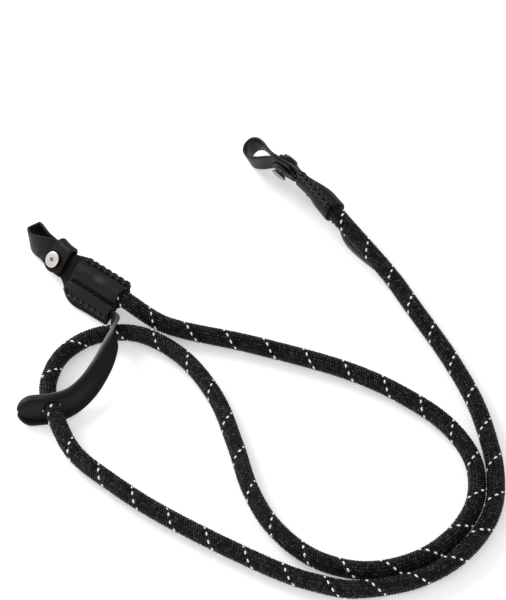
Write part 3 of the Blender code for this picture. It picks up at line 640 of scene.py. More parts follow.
def columns_between(low, high, count):
    """Rows of q from low to high, close together at both edges, and the wall's shares.

    Near an edge the distance from it is kept. Between, the columns are spread evenly.
    """
    where, share = rimmed(1.0 + 2 * RIM, count)
    near = np.arange(len(where)) < len(RIM_ANGLES)
    width = high - low
    narrow = np.clip(width / (4 * RIM), 0, 1)
    inner = low + RIM * narrow + (where - RIM) * (width - 2 * RIM * narrow)
    q = np.where(near, low + where * narrow,
                 np.where(near[::-1], high - (1 + 2 * RIM - where) * narrow, inner))
    return q, share


def make_band(fitting, looks, material):
    """The band: a path in (s, d) through sleeve, neck and loop and back, swept over its width."""
    shares = table(LOOP)
    turn = np.stack([LOOP_START + shares[:, 0] * (LOOP_REACH - LOOP_START),
                     shares[:, 1] * LOOP_DEPTHS[fitting.side]], axis=1)
    lead = [(LOOP_START - LOOP_LEAD, 0.0), (LOOP_START, 0.0)]
    close = [(LOOP_START - LOOP_CLOSING, LAYER), (LOOP_START - LOOP_CLOSED, LAYER)]
    path = np.vstack([(0, 0), smooth_line(np.vstack([lead, turn, close])), (RETURN_END, LAYER)])
    along = lengths(path)
    where, row_share = rimmed(along[-1], 150)
    s, lift = at_lengths(path, along, where).T[:, :, None]
    first = lift == 0
    top = fitting.above(s) - (corner(s) + notches(s, looks)) * first
    q, column_share = columns_between(-fitting.below(s), top, 44)
    sewn = first * (s < SLEEVE_LENGTH)
    pull = pulled_by_all(s, q, looks) * sewn * BAND_PULL
    grid = fitting.place(s, q, lift + band_depth(s, q) - pull)
    bend = np.abs(np.gradient(np.gradient(lift[:, 0])))
    stress = np.clip(bend / bend.max(), 0, 1)[:, None] * np.ones_like(q)
    pattern = np.stack([where[:, None] + 0 * q, q], axis=-1)
    piece = shell(fitting.side + "_band_leather", grid, LEATHER, row_share[:, None] * column_share,
                  pattern, material, stress)
    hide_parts(fitting.side + "_band")


def make_sleeve(fitting, looks, material):
    """The sleeve: its pattern's rectangle with notched edges, raised by sleeve_depth."""
    where, row_share = rimmed(SLEEVE_LENGTH, 84)
    s = where[:, None]
    top = fitting.above(s) - corner(s) - notches(s, looks)
    q, column_share = columns_between(FLAP - fitting.below(s), top, 84)
    grid = fitting.place(s, q, sleeve_depth(s, q, looks))
    stress = np.exp(-((q - CHANNEL_Q) / CREST) ** 2) * 0.5
    # painted shade: a band along each row of stitches, where its groove is shaded
    seam = sum(np.exp(-((q - row) / SEAM_SHADE) ** 2) for row in (UPPER_SEAM, MIDDLE_SEAM, LOWER_SEAM))
    pattern = np.stack([s + 0 * q, q], axis=-1)
    piece = shell(fitting.side + "_sleeve_leather", grid, LEATHER, row_share[:, None] * column_share,
                  pattern, material, stress, seam)
    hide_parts(fitting.side + "_sleeve")


def make_keeper(fitting, material):
    """The keeper: a front leaf with a rounded end, a half turn round the band's edge, and a back leaf.

    The leaf's end is -L/2 sqrt(1 - v^2), and the fold is a half circle about the middle of the stack. The
    barrel presses both leaves in round itself.
    """
    fold = KEEPER_FOLD[fitting.side]
    edge = BAND_ABOVE if fold > 0 else BAND_BELOW
    half = KEEPER_LENGTH / 2
    across, row_share = rimmed(KEEPER_LENGTH, 34)
    v = (across / half - 1)[:, None]
    tip = -half * np.sqrt(np.clip(1 - (KEEPER_ROUND * v) ** 2, 0, 1))
    leaf = edge - tip
    u, column_share = columns_between(0.0, 2 * leaf + math.pi * FOLD_RADIUS, 90)
    angle = np.clip((u - leaf) / FOLD_RADIUS, 0, math.pi)
    back = np.clip(u - leaf - math.pi * FOLD_RADIUS, 0, None)
    q = np.where(u < leaf, tip + u, edge + FOLD_RADIUS * np.sin(angle) - back)
    d = LAYER / 2 + FOLD_RADIUS * np.cos(angle)
    from_barrel = np.hypot(v * half, q) - BARREL_DIAMETER / 2
    d = d - PRESS_DEPTH * np.exp(-(from_barrel / PRESS_WIDTH) ** 2) * np.sign(d - LAYER / 2)
    grid = fitting.place(SCREW_STATION + v * half * KEEPER_TRIM, fold * q, d)
    pattern = np.stack([v * half + 0 * u, u], axis=-1)
    stress = np.exp(-((angle - math.pi / 2) / 0.7) ** 2)
    piece = shell(fitting.side + "_keeper_leather", grid, LEATHER, row_share[:, None] * column_share,
                  pattern, material, stress)
    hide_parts(fitting.side + "_keeper")


def tail_line(fitting, width, reach):
    """A tail's middle line, width, roll and crease, from inside the sleeve to its rounded end."""
    rows = table(TAILS[fitting.side])
    inside = [TAIL_INSERT, 0.45 * TAIL_INSERT, 0]
    inner = fitting.place(inside, TAIL_Q, TAIL_D)
    mouth = inner[-1]
    outer = np.stack([mouth[0] + rows[:, 0] * reach, mouth[1] + rows[:, 1] * reach,
                      rows[:, 2] * ROPE_DIAMETER], axis=1)
    rolls = np.degrees(fitting.roll(np.array(inside)))
    widths = np.concatenate([np.full(3, TAIL_MOUTH_WIDTH), rows[:, 3] * width])
    columns = [np.vstack([inner, outer]), widths[:, None], np.concatenate([rolls, rows[:, 4]])[:, None],
               np.concatenate([np.zeros(3), rows[:, 5]])[:, None]]
    return smooth_line(np.hstack(columns))


def cut_slit(piece, rope):
    """Cut the hole that the rope goes through, with a tube a little wider than the rope."""
    along = lengths(rope)
    centre, _, side, up = rope_axes(rope, along, np.linspace(*SLIT_SPAN, 60))
    radius = np.full((1, len(centre), 1), SLIT_RADIUS)
    points, faces = tube(centre[None], side[None], up[None], radius, 40)
    mesh = bpy.data.meshes.new("slit")
    mesh.from_pydata((points * MM).tolist(), [], faces)
    cutter = bpy.data.objects.new("slit", mesh)
    bpy.context.scene.collection.objects.link(cutter)
    cut = piece.modifiers.new("slit", "BOOLEAN")
    cut.operation = "DIFFERENCE"
    cut.object = cutter
    cut.use_self = True
    whole = piece.data
    shown = piece.evaluated_get(bpy.context.evaluated_depsgraph_get())
    piece.data = bpy.data.meshes.new_from_object(shown)
    piece.data.set_sharp_from_angle(angle=math.radians(SLIT_CREASE))
    piece.modifiers.clear()
    bpy.data.meshes.remove(whole)
    bpy.data.meshes.remove(mesh)


def make_tail(fitting, material, rope):
    """A tail: a strip about its middle line, turned by its roll, with an S crease and a round end.

    Past the last point of the line the width goes as sqrt(1 - x^2). The crease turns the straight rise
    across the strip into a smooth step. The left one has the slit that the rope goes through.
    """
    width, reach = TAIL_SIZES[fitting.side]
    line = tail_line(fitting, width, reach)
    along = lengths(line[:, :3])
    end = along[-1]
    where, row_share = rimmed(end + width / 2, 110)
    where = np.concatenate([where[where < end], end + np.sin(np.radians(TIP_ANGLES)) * width / 2])
    left = np.clip((end + width / 2 - where) / RIM, 0, 1)
    row_share = row_share[:len(where)] * (1 - (1 - left) ** 2) ** TIP_FULLNESS
    row_share[-1] = 0.0
    step = at_lengths(unit(np.gradient(line[:, :3], along, axis=0)), along, where)
    centre, wide, roll, crease = np.split(at_lengths(line, along, where), [3, 4, 5], axis=1)
    centre = centre + np.clip(where - end, 0, None)[:, None] * step
    side = unit(np.stack([-step[:, 1], step[:, 0]], axis=1))
    roll = np.radians(roll)
    past = np.clip((where - end) / (width / 2), 0, 1)[:, None]
    wide = wide * np.sqrt(1 - past ** 2)
    x, column_share = columns_between(-wide / 2, wide / 2, 40)
    q = x / wide
    rise = (1 - crease) * q + crease * (ease(np.clip(CREASE * q + 0.5, 0, 1)) - 0.5)
    spread = (x * np.cos(roll))[..., None] * side[:, None, :]
    high = centre[:, None, 2] + wide * rise * np.sin(roll)
    grid = np.concatenate([centre[:, None, :2] + spread, high[..., None]], axis=2)
    pattern = np.stack([where[:, None] + 0 * q, x], axis=-1)
    stress = np.abs(crease) * np.exp(-(q / 0.2) ** 2)
    # the tails' polished edge band, where the paler edge colour is partly a painted highlight
    polished_edge_and_highlight = np.exp(-((wide / 2 - x) / POLISHED_EDGE_AND_HIGHLIGHT_WIDTH) ** 2)
    piece = shell(fitting.side + "_tail_leather", grid, TAIL_LEATHER, row_share[:, None] * column_share,
                  pattern, material, stress, polished_edge_and_highlight=polished_edge_and_highlight)
    if fitting.side == "left":
        cut_slit(piece, rope)
    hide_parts(fitting.side + "_tail")


# Stitches

def thread_tubes(paths, normals, radius, sides=10):
    """Two-ply thread along each path, thinner at its ends.

    The radius is r (0.90 + 0.16 |cos(a + k t)|), where k t is the plies' twist along the path.
    """
    rings = paths.shape[1]
    ahead = unit(np.gradient(paths, axis=1))
    side = unit(np.cross(ahead, normals))
    up = np.cross(side, ahead)
    angle = np.linspace(0, 2 * math.pi, sides, endpoint=False)[None, None, :]
    twist = np.linspace(0, PLY_TURNS, rings)[None, :, None]
    ply = radius * (0.90 + 0.16 * np.abs(np.cos(angle + twist)))
    ends = np.sin(np.linspace(0.35, math.pi - 0.35, rings)) ** 0.25
    return tube(paths, side, up, np.repeat(ply * ends[None, :, None], len(paths), axis=0), sides)


def whip_stitches(fitting, places, thread):
    """Paths over the upper edge, two strands to a stitch, and the directions away from the leather.

    Each is half an ellipse in (q, d) round both leathers, and its last degrees dip into them.
    """
    reach, tuck = math.radians(WHIP_REACH), math.radians(WHIP_TUCK)
    a = np.linspace(reach, -reach, 25)[None, :]
    dip = 1 - 0.9 * np.clip((np.abs(a) - math.pi / 2) / tuck, 0, 1) ** 2
    base = UPPER_SEAM + WHIP_SEAT
    high = SLEEVE_ABOVE - NOTCH - base + 1.2 * thread
    thick = LAYER / 2 + LEATHER / 2 + 0.2 * thread
    strands = (places[:, None] + np.array([-STRAND_APART, STRAND_APART]) * thread).reshape(-1, 1)
    s = strands + WHIP_SLANT * np.sin(a)
    q = base + high * np.cos(a)
    d = LAYER / 2 + thick * np.sin(a) * dip
    path = fitting.place(s, q, d)
    return path, unit(fitting.place(s, q + 0.1 * np.cos(a), d + 0.1 * np.sin(a)) - path)


def face_stitches(fitting, looks, places, thread, row, lean):
    """Paths on the sleeve's face that lean one way over a row, and the directions away from it.

    Each goes straight from one hole to the next, a thread high on the leather, and dips under it at both
    ends: lift = r (1.3 - 2.9 |2t - 1|^6).
    """
    seam, span, run, squeeze, shift = row
    pitch = looks.stitch_pitch / MM
    t = np.linspace(0, 1, 25)[None, :]
    lift = thread * (1.3 - 2.9 * np.abs(2 * t - 1) ** 6) * (1.0 if lean > 0 else 0.75)
    centres = SLEEVE_LENGTH / 2 + squeeze * (places - SLEEVE_LENGTH / 2) + shift
    s = centres[:, None] + lean * FACE_LEAN * pitch + run * pitch * (t - 0.5)
    q = np.maximum(seam, FLAP + FACE_MARGIN - fitting.below(s)) + lean * span * (t - 0.5)
    d = sleeve_depth(s, q, looks) + LEATHER / 2 + lift
    path = fitting.place(s, q, d)
    return path, unit(fitting.place(s, q, d + 0.1) - path)


def make_stitches(fitting, looks, material):
    """Three rows of thread: over the upper edge, crossed in the valley, and along the lower edge."""
    thread = looks.thread / MM
    places = stitch_places(looks.stitch_pitch / MM)
    parts = [whip_stitches(fitting, places, thread)]
    parts += [face_stitches(fitting, looks, places, thread, row, lean)
              for row in table(FACE_STITCHES) for lean in (-1, 1)]
    paths, normals = (np.concatenate(part) for part in zip(*parts))
    points, faces = thread_tubes(paths, normals, PLY_RADIUS * thread)
    put_mesh(fitting.side + "_stitches", points, faces, material)


# Screws

def turned(name, rings, frame_axes, slot, material, sides=72):
    """A closed turned piece from rings of radius, height and painted shade, which may depend on the
    angle.

    The painted shade is how much the material darkens the colour where shade falls.
    """
    place, ahead, across, out = frame_axes
    angle = np.linspace(0, 2 * math.pi, sides, endpoint=False)
    radius, height, painted_recess_shade = rings(angle)
    x, y = radius * np.cos(angle), radius * np.sin(angle)
    points = place + x[..., None] * ahead + y[..., None] * across + height[..., None] * out
    count = len(points)
    index = np.arange(count * sides).reshape(count, sides)
    turn = np.roll(index, -1, axis=1)
    quads = np.stack([index[:-1], index[1:], turn[1:], turn[:-1]], axis=-1).reshape(-1, 4)
    poles = np.stack([points[0].mean(axis=0), points[-1].mean(axis=0)])
    first = np.stack([index[0], turn[0], np.full(sides, count * sides)], axis=-1)
    last = np.stack([turn[-1], index[-1], np.full(sides, count * sides + 1)], axis=-1)
    points = np.vstack([points.reshape(-1, 3), poles])
    uv = np.concatenate([np.stack([x, y], axis=-1).reshape(-1, 2), np.zeros((2, 2))]) * MM
    faces = quads.tolist() + first.tolist() + last.tolist()
    values = {"painted_recess_shade": np.append(painted_recess_shade.ravel(), [0, 0])}
    return put_mesh(name, points, faces, material, uv, values)


def cross_arm(along, across):
    """How deep one arm of the cross is, from 0 to 1, with soft sides and ends."""
    length, width = HEAD_CROSS
    ends = np.clip((length / 2 + 0.15 - np.abs(along)) / 0.30, 0, 1)
    sides = np.clip((width / 2 + 0.12 - np.abs(across)) / 0.24, 0, 1)
    return ease(ends) * ease(sides)


def make_screw(fitting, head_steel, painted_shade):
    """The screw's head and the barrel that it is driven into.

    The head's face has the height top - fall (r/R)^power - the cross's depth, and its edge is a quarter
    round.
    """
    frame_axes = fitting.screw_frame()
    head = HEAD_DIAMETER / 2
    barrel_top = FRONT_OF_STACK + BARREL_STANDS[fitting.side]
    under = barrel_top + GAP
    top = under + HEAD_HEIGHT
    fall, power = DOME

    def head_rings(angle):
        face = np.linspace(0.02, DOME_EDGE, 40)[:, None] * head + 0 * angle
        x, y = face * np.cos(angle), face * np.sin(angle)
        cross = np.maximum(cross_arm(x, y), cross_arm(y, x))
        dome = top - fall * (face / head) ** power - CROSS_DEPTH * cross
        bend = np.radians([8, 25, 45, 65, 90])[:, None] + 0 * angle
        edge = head * (DOME_EDGE + (1 - DOME_EDGE) * np.sin(bend))
        rolled = top - fall * DOME_EDGE ** power - ROLLED_EDGE * (1 - np.cos(bend))
        low = np.array([(head, under + 0.15), (head - 0.15, under), (1.5, under)])
        low_radius, low_height = low.T[:, :, None] + 0 * angle
        # painted shade: the cross, the rolled edge's rim and the underside are darkened in colour
        painted_recess_shade = np.vstack([cross, 0.65 * np.sin(bend) ** 4, 0 * low_height + 0.9])
        return np.vstack([face, edge, low_radius]), np.vstack([dome, rolled, low_height]), painted_recess_shade

    screw = turned(fitting.side + "_screw_head", head_rings, frame_axes, "steel", head_steel, 96)
    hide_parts(fitting.side + "_screw")
    barrel = BARREL_DIAMETER / 2
    flange = FLANGE_DIAMETER / 2
    foot = -BACK_OF_BARREL
    lip = foot + FLANGE_HEIGHT

    def barrel_rings(angle):
        profile = np.array([
            (0.8, under), (1.5, under), (1.55, barrel_top), (barrel - 0.15, barrel_top),
            (barrel, barrel_top - 0.15), (barrel, lip + 0.1), (barrel + 0.1, lip), (flange - 0.15, lip),
            (flange, lip - 0.15), (flange, foot + 0.45), (flange - 0.15, foot + 0.12),
            (flange - 0.5, foot), (0.6, foot), (0.3, foot),
        ])
        radius, height = profile.T[:, :, None] + 0 * angle
        return radius, height, 0 * height

    barrel_piece = turned(fitting.side + "_barrel_turned", barrel_rings, frame_axes, "steel", painted_shade)
    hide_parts(fitting.side + "_barrel")


# Rope

def rope_axes(line, along, where):
    """The rope's middle, forward, side and up directions at distances along it."""
    ahead = unit(np.gradient(line, along, axis=0))
    centre = at_lengths(line, along, where)
    forward = unit(at_lengths(ahead, along, where))
    side = unit(np.cross(forward, np.array([0.0, 0.0, 1.0])))
    return centre, forward, side, np.cross(side, forward)


def braid_line():
    """The route as the braid follows it, with the distances along the solid's line.

    Outside the sleeves its yarns' backs touch the surface, and where two coils lie together each other.
    """
    line = smooth_line(np.array(ROPE_ROUTE) / MM, 60)
    along = lengths(line)
    distance, radii, _ = table(BRAID).T
    way = unit(np.gradient(line[:, :2], along, axis=0))
    left = np.stack([-way[:, 1], way[:, 0]], axis=1)
    line[:, :2] += np.interp(along, *table(ASIDE).T)[:, None] * left
    inside = np.minimum(along, along[-1] - along)
    out = ease(np.clip(inside / SLEEVE_LENGTH - 0.3, 0, 1))
    line[:, 2] += (np.interp(along, distance, radii) - REST_HEIGHT) * out
    return line, along


def make_core(line, along, material):
    """The rope's core: a tube just inside the braid, closed at both ends."""
    where = np.linspace(0, along[-1], 760)
    centre, _, side, up = rope_axes(line, along, where)
    radius = np.full((1, len(where), 1), ROPE_DIAMETER / 2 * CORE_SHARE)
    points, faces = tube(centre[None], side[None], up[None], radius, 24)
    core = put_mesh("rope_core", points, faces, material)
    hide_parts("rope")
    return core, centre * MM


def float_columns(looks, length):
    """Where each yarn lies on top of the braid: arrays of distance, angle, lean and which the tracer has.

    Half the yarns wind each way over two and under two, so their floats stack in as many columns as half
    the yarns. A column's floats are pitch/16 apart, and every other column leans the other way. The
    tracer is the one yarn whose floats lie on the helix where the distance is
    start + pitch (angle/2 pi + a whole number).
    """
    pitch = looks.pitch / MM
    columns = CARRIERS // 2
    spacing = pitch / columns
    rows = int(length / spacing) + 1
    column = np.repeat(np.arange(columns), rows)
    row = np.tile(np.arange(rows), columns)
    lean = np.where(column % 2 == 0, 1.0, -1.0)
    s = row * spacing + lean * spacing / 4 + spacing / 2
    angle = 2 * math.pi * (0.5 + 2 * column) / CARRIERS
    turn = (s - looks.tracer_start / MM) / pitch - angle / (2 * math.pi)
    tracer = (lean > 0) & (np.abs(turn - np.round(turn)) * pitch < spacing / 2)
    distance, _, slip = table(BRAID).T
    s = s + np.interp(s, distance, slip)
    keep = (s > 1) & (s < length - 1)
    return s[keep], angle[keep], lean[keep], tracer[keep]


def braid_mesh(line, along, looks, slim, s0, angle0, lean, rng):
    """Closed floats of the braid: each is three rings and two tips along its yarn.

    With u along the yarn and v across it, the distance along the rope is s0 + u cos b - lean v sin b, and
    the angle round it is a0 + (lean u sin b + v cos b)/R. The radius is
    R - t - dive (2u/L)^2 + t w sin(psi), and v is W/2 w cos(psi). The rings' width share w is
    sqrt(1 - taper (2u/L)^2), and the tips' is 0.
    """
    distance, radii, _ = table(BRAID).T
    radius = np.interp(s0, distance, radii)[:, None]
    pitch = looks.pitch / MM
    slope = math.atan2(math.pi * ROPE_DIAMETER, pitch)
    crossing = pitch / CARRIERS / math.cos(slope)
    size = len(s0)
    longer, wider = FLOAT_VARIES
    length = 2 * crossing * (FLOAT_LENGTH + longer * rng.standard_normal(size))[:, None, None]
    width = slim * looks.yarn_width / MM * (1 + wider * rng.standard_normal(size))[:, None, None]
    thick = looks.yarn_rise / MM
    shift, stand, sway = rng.standard_normal((3, size)) * np.array(YARN_STRAYS)[:, None]
    ring = np.array(FLOAT_RINGS)[None, :, None]
    tip = np.array([-0.5, 0.5])[None, :, None]
    psi = np.radians([0, 45, 90, 135, 180])[None, None, :]
    full = np.sqrt(1 - (2 * ring) ** 2 * FLOAT_TAPER)
    flat = np.zeros((size, 2))
    u, v, arch = (np.hstack([(part + 0 * length).reshape(size, -1), ends]) for part, ends in (
        (ring * length + 0 * psi, (tip * length)[:, :, 0]), (width / 2 * np.cos(psi) * full, flat),
        (thick * np.sin(psi) * full, flat)))
    share = 2 * u / length[:, :, 0]
    high = radius - thick - looks.dive / MM * share ** 2 + arch + np.minimum(stand, 0)[:, None]
    lay = (slope + looks.lay + sway)[:, None]
    s = (s0 + shift)[:, None] + u * np.cos(lay) - lean[:, None] * v * np.sin(lay)
    angle = angle0[:, None] + (lean[:, None] * u * np.sin(lay) + v * np.cos(lay)) / radius
    centre, _, side, up = rope_axes(line, along, np.clip(s, 0, along[-1]))
    points = centre + high[..., None] * (np.cos(angle)[..., None] * up + np.sin(angle)[..., None] * side)
    rings, corners = full.shape[1], psi.shape[2]
    index = np.arange(rings * corners).reshape(rings, corners)
    around = np.hstack([index, index[:, :1]])
    quads = np.stack([around[:-1, :-1], around[1:, :-1], around[1:, 1:], around[:-1, 1:]], axis=-1)
    tips = [np.stack([around[0, :-1], around[0, 1:], np.full(corners, rings * corners)], axis=-1),
            np.stack([around[-1, 1:], around[-1, :-1], np.full(corners, rings * corners + 1)], axis=-1)]
    each = points.shape[1]
    offset = (np.arange(size) * each)[:, None, None]
    uv = np.stack([share / 2 + 0.5, v / (looks.yarn_width / MM) + 0.5], axis=-1).reshape(-1, 2)
    shade = np.repeat(rng.random(size), each)
    faces = (quads.reshape(-1, 4) + offset).reshape(-1, 4).tolist()
    faces += (np.vstack(tips) + offset).reshape(-1, 3).tolist()
    return points.reshape(-1, 3), faces, uv, shade


# Materials

class Nodes:
    """A node tree with short names for placing and joining its nodes."""

    def __init__(self, tree):
        self.tree = tree
        tree.nodes.clear()

    def add(self, kind, values=None, **settings):
        """A node with its settings, and with plain values on some of its inputs."""
        node = self.tree.nodes.new(kind)
        for key, value in settings.items():
            setattr(node, key, value)
        for label, value in (values or {}).items():
            node.inputs[label].default_value = value
        return node

    def join(self, source, output, target, entry):
        self.tree.links.new(source.outputs[output], target.inputs[entry])

    def read(self, attribute):
        """The value that the mesh keeps at each of its points under this name."""
        return self.add("ShaderNodeAttribute", attribute_name=attribute), "Fac"

    def math(self, operation, *parts, clamp=False):
        """One sum of plain numbers and of (node, output) pairs, as such a pair."""
        node = self.add("ShaderNodeMath", operation=operation, use_clamp=clamp)
        for entry, part in enumerate(parts):
            if isinstance(part, tuple):
                self.join(*part, node, entry)
            else:
                node.inputs[entry].default_value = part
        return node, 0

    def noise(self, scale=None, detail=2.0, roughness=0.5):
        values = {"Detail": detail, "Roughness": roughness}
        if scale is not None:
            values["Scale"] = scale
        return self.add("ShaderNodeTexNoise", values)

    def mix(self, blend, factor, a, b):
        """Two colours mixed. Each, and the factor, is a plain value or a (node, output) pair."""
        node = self.add("ShaderNodeMix", data_type="RGBA", blend_type=blend)
        for label, part in (("Factor", factor), ("A", a), ("B", b)):
            if isinstance(part, tuple) and isinstance(part[0], bpy.types.Node):
                self.join(*part, node, label)
            else:
                node.inputs[label].default_value = part
        return node, "Result"

    def shader(self, colour, rough, height, strength, depth, values):
        """The Principled shader with a bump of that height, joined to the material's output."""
        bump = self.add("ShaderNodeBump", {"Strength": strength, "Distance": depth})
        self.join(*height, bump, "Height")
        node = self.add("ShaderNodeBsdfPrincipled", values)
        self.join(*colour, node, "Base Color")
        self.join(*rough, node, "Roughness")
        self.join(bump, "Normal", node, "Normal")
        self.join(node, 0, self.add("ShaderNodeOutputMaterial"), "Surface")
        return node


def new_material(name):
    """An empty material, and the nodes to fill it with."""
    made = bpy.data.materials.new(name)
    made.use_nodes = True
    return made, Nodes(made.node_tree)


def shader_group(name, entries):
    """A new group that gives a height and a tone: its nodes, its input and its output."""
    group = bpy.data.node_groups.new(name, "ShaderNodeTree")
    for label, kind in entries:
        group.interface.new_socket(label, in_out="INPUT", socket_type=kind)
    for label in ("Height", "Tone"):
        group.interface.new_socket(label, in_out="OUTPUT", socket_type="NodeSocketFloat")
    n = Nodes(group)
    return n, n.add("NodeGroupInput"), n.add("NodeGroupOutput")


def grain_group():
    """Leather grain: pebbles from cell edges, creases, and slow changes, over a place given in metres."""
    n, entry, leave = shader_group("Leather grain", [
        ("Place", "NodeSocketVector"), ("Pebble", "NodeSocketFloat"), ("Crease", "NodeSocketFloat")])
    cells = n.add("ShaderNodeTexVoronoi", {"Smoothness": 0.6}, feature="SMOOTH_F1")
    n.join(entry, "Pebble", cells, "Scale")
    creases = n.noise(detail=5.0, roughness=0.62)
    n.join(entry, "Crease", creases, "Scale")
    slow = n.noise(70.0, detail=3.0)
    for texture in (cells, creases, slow):
        n.join(entry, "Place", texture, "Vector")
    lines = n.math("ABSOLUTE", n.math("SUBTRACT", (creases, "Fac"), 0.5))
    sunk = n.math("SMOOTH_MIN", n.math("MULTIPLY", lines, 9.0), 1.0, 0.3)
    pebbles = n.math("SUBTRACT", 1.0, (cells, "Distance"))
    n.join(*n.math("MULTIPLY_ADD", pebbles, 0.55, n.math("MULTIPLY", sunk, 0.45)), leave, "Height")
    n.join(slow, "Fac", leave, "Tone")


def fibre_group():
    """Fibres of a yarn: fine lines along its UV, wavy across it, and slow changes along it."""
    n, entry, leave = shader_group("Yarn fibres", [("Lines", "NodeSocketFloat")])
    uv = n.add("ShaderNodeUVMap", uv_map="UVMap")
    parts = n.add("ShaderNodeSeparateXYZ")
    n.join(uv, 0, parts, 0)
    noise = n.noise(3.0)
    n.join(uv, 0, noise, "Vector")
    sway = n.math("MULTIPLY_ADD", (noise, "Fac"), 0.25, (parts, "Y"))
    lines = n.math("MULTIPLY", sway, (entry, "Lines"))
    wave = n.math("SINE", n.math("MULTIPLY", lines, 2 * math.pi))
    n.join(*n.math("MULTIPLY_ADD", wave, 0.5, 0.5), leave, "Height")
    n.join(noise, "Fac", leave, "Tone")


def speckle_group():
    """Unevenness of a plain finish: a noise as height, and 1 + amount (noise - 0.5) as tone."""
    n, entry, leave = shader_group("Speckle", [
        ("Place", "NodeSocketVector"), ("Scale", "NodeSocketFloat"), ("Amount", "NodeSocketFloat")])
    noise = n.noise(detail=5.0)
    n.join(entry, "Place", noise, "Vector")
    n.join(entry, "Scale", noise, "Scale")
    middle = n.math("SUBTRACT", (noise, "Fac"), 0.5)
    n.join(*n.math("MULTIPLY_ADD", middle, (entry, "Amount"), 1.0), leave, "Tone")
    n.join(noise, "Fac", leave, "Height")


GROUP_MAKERS = {"Leather grain": grain_group, "Yarn fibres": fibre_group, "Speckle": speckle_group}


def placed_group(n, name, values):
    """A node of that group in a material, with the material's own values. The group is made once."""
    if name not in bpy.data.node_groups:
        GROUP_MAKERS[name]()
    node = n.add("ShaderNodeGroup", node_tree=bpy.data.node_groups[name])
    for label, value in values.items():
        node.inputs[label].default_value = value
    if "Place" in node.inputs:
        n.join(n.add("ShaderNodeTexCoord"), "Object", node, "Place")
    return node


def leather_material(name, looks, edge_colour):
    """Black leather: grain bump, a burnished edge, paler on the tails where it is partly a painted
    highlight, painted shade along the seams, and a smoother sheen where it is bent.
    """
    made, n = new_material(name)
    skin = placed_group(n, "Leather grain", {"Pebble": 1100.0, "Crease": 260.0})
    edge, stretch, seam = (n.read(attribute) for attribute in ("edge", "stretch", "seam"))
    tone = (skin, "Tone")
    # the edge colour is the burnished edge's own tone, and on the tails partly a painted highlight
    worn_edge_and_highlight = n.math("MULTIPLY", edge, n.math("MULTIPLY_ADD", tone, 1.6, -0.15), clamp=True)
    colour = n.mix("MIX", worn_edge_and_highlight, (*looks.leather_colour, 1), (*edge_colour, 1))
    # painted shade: the colour is up to 80 % darker along the rows of stitches
    painted_shade = n.math("MULTIPLY_ADD", seam, -0.8, 1.0, clamp=True)
    light = n.math("MULTIPLY", n.math("MULTIPLY_ADD", tone, 0.9, 0.6), painted_shade)
    colour = n.mix("MULTIPLY", 1.0, colour, light)
    rough = n.math("MULTIPLY_ADD", tone, 0.20, 0.40)
    rough = n.math("MULTIPLY_ADD", stretch, -0.06, rough)
    rough = n.math("MULTIPLY_ADD", seam, 0.35, rough, clamp=True)
    n.shader(colour, rough, (skin, "Height"), 0.45, 0.00012, {"Specular IOR Level": 0.22})
    return made


def yarn_material(name, colour, roughness, spread, glow=0.0):
    """A filament yarn: its colour and gloss vary from yarn to yarn, and fine lines run along it."""
    made, n = new_material(name)
    lines = (placed_group(n, "Yarn fibres", {"Lines": 9.0}), "Height")
    shade = n.read("shade")
    light = n.math("MULTIPLY_ADD", shade, spread, 1 - spread / 2)
    light = n.math("MULTIPLY", light, n.math("MULTIPLY_ADD", lines, 0.35, 0.8))
    rough = n.math("MULTIPLY_ADD", shade, 0.4 * spread, roughness)
    # glow is painted light: an emission that makes the yarn brighter than the lamps light it
    node = n.shader(n.mix("MULTIPLY", 1.0, (*colour, 1), light), rough, lines, 0.5, 0.00006, {
        "Specular IOR Level": 0.18, "Coat Roughness": 0.14, "Emission Color": (1, 1, 1, 1),
        "Emission Strength": glow})
    n.join(*n.math("MULTIPLY", n.math("POWER", shade, 2.0), spread), node, "Coat Weight")
    return made


def plain_material(name, colour, roughness, metallic, scale, amount, depth, specular=0.5, glow=0.0):
    """A plain finish whose colour, roughness and surface vary a little, with painted shade darkening the
    colour in hollows.
    """
    made, n = new_material(name)
    speckle = placed_group(n, "Speckle", {"Scale": scale, "Amount": amount})
    height = (speckle, "Height")
    # painted shade: the colour is up to 96 % darker where the mesh marks a hollow
    light = n.math("MULTIPLY", (speckle, "Tone"), n.math("MULTIPLY_ADD", n.read("painted_recess_shade"), -0.96, 1.0))
    rough = n.math("MULTIPLY_ADD", height, 0.2 * roughness, 0.9 * roughness)
    values = {"Metallic": metallic, "Specular IOR Level": specular}
    if glow:
        values.update({"Emission Color": (1, 1, 1, 1), "Emission Strength": glow})
    n.shader(n.mix("MULTIPLY", 1.0, (*colour, 1), light), rough, height, 0.4, depth, values)
    return made


# Operators

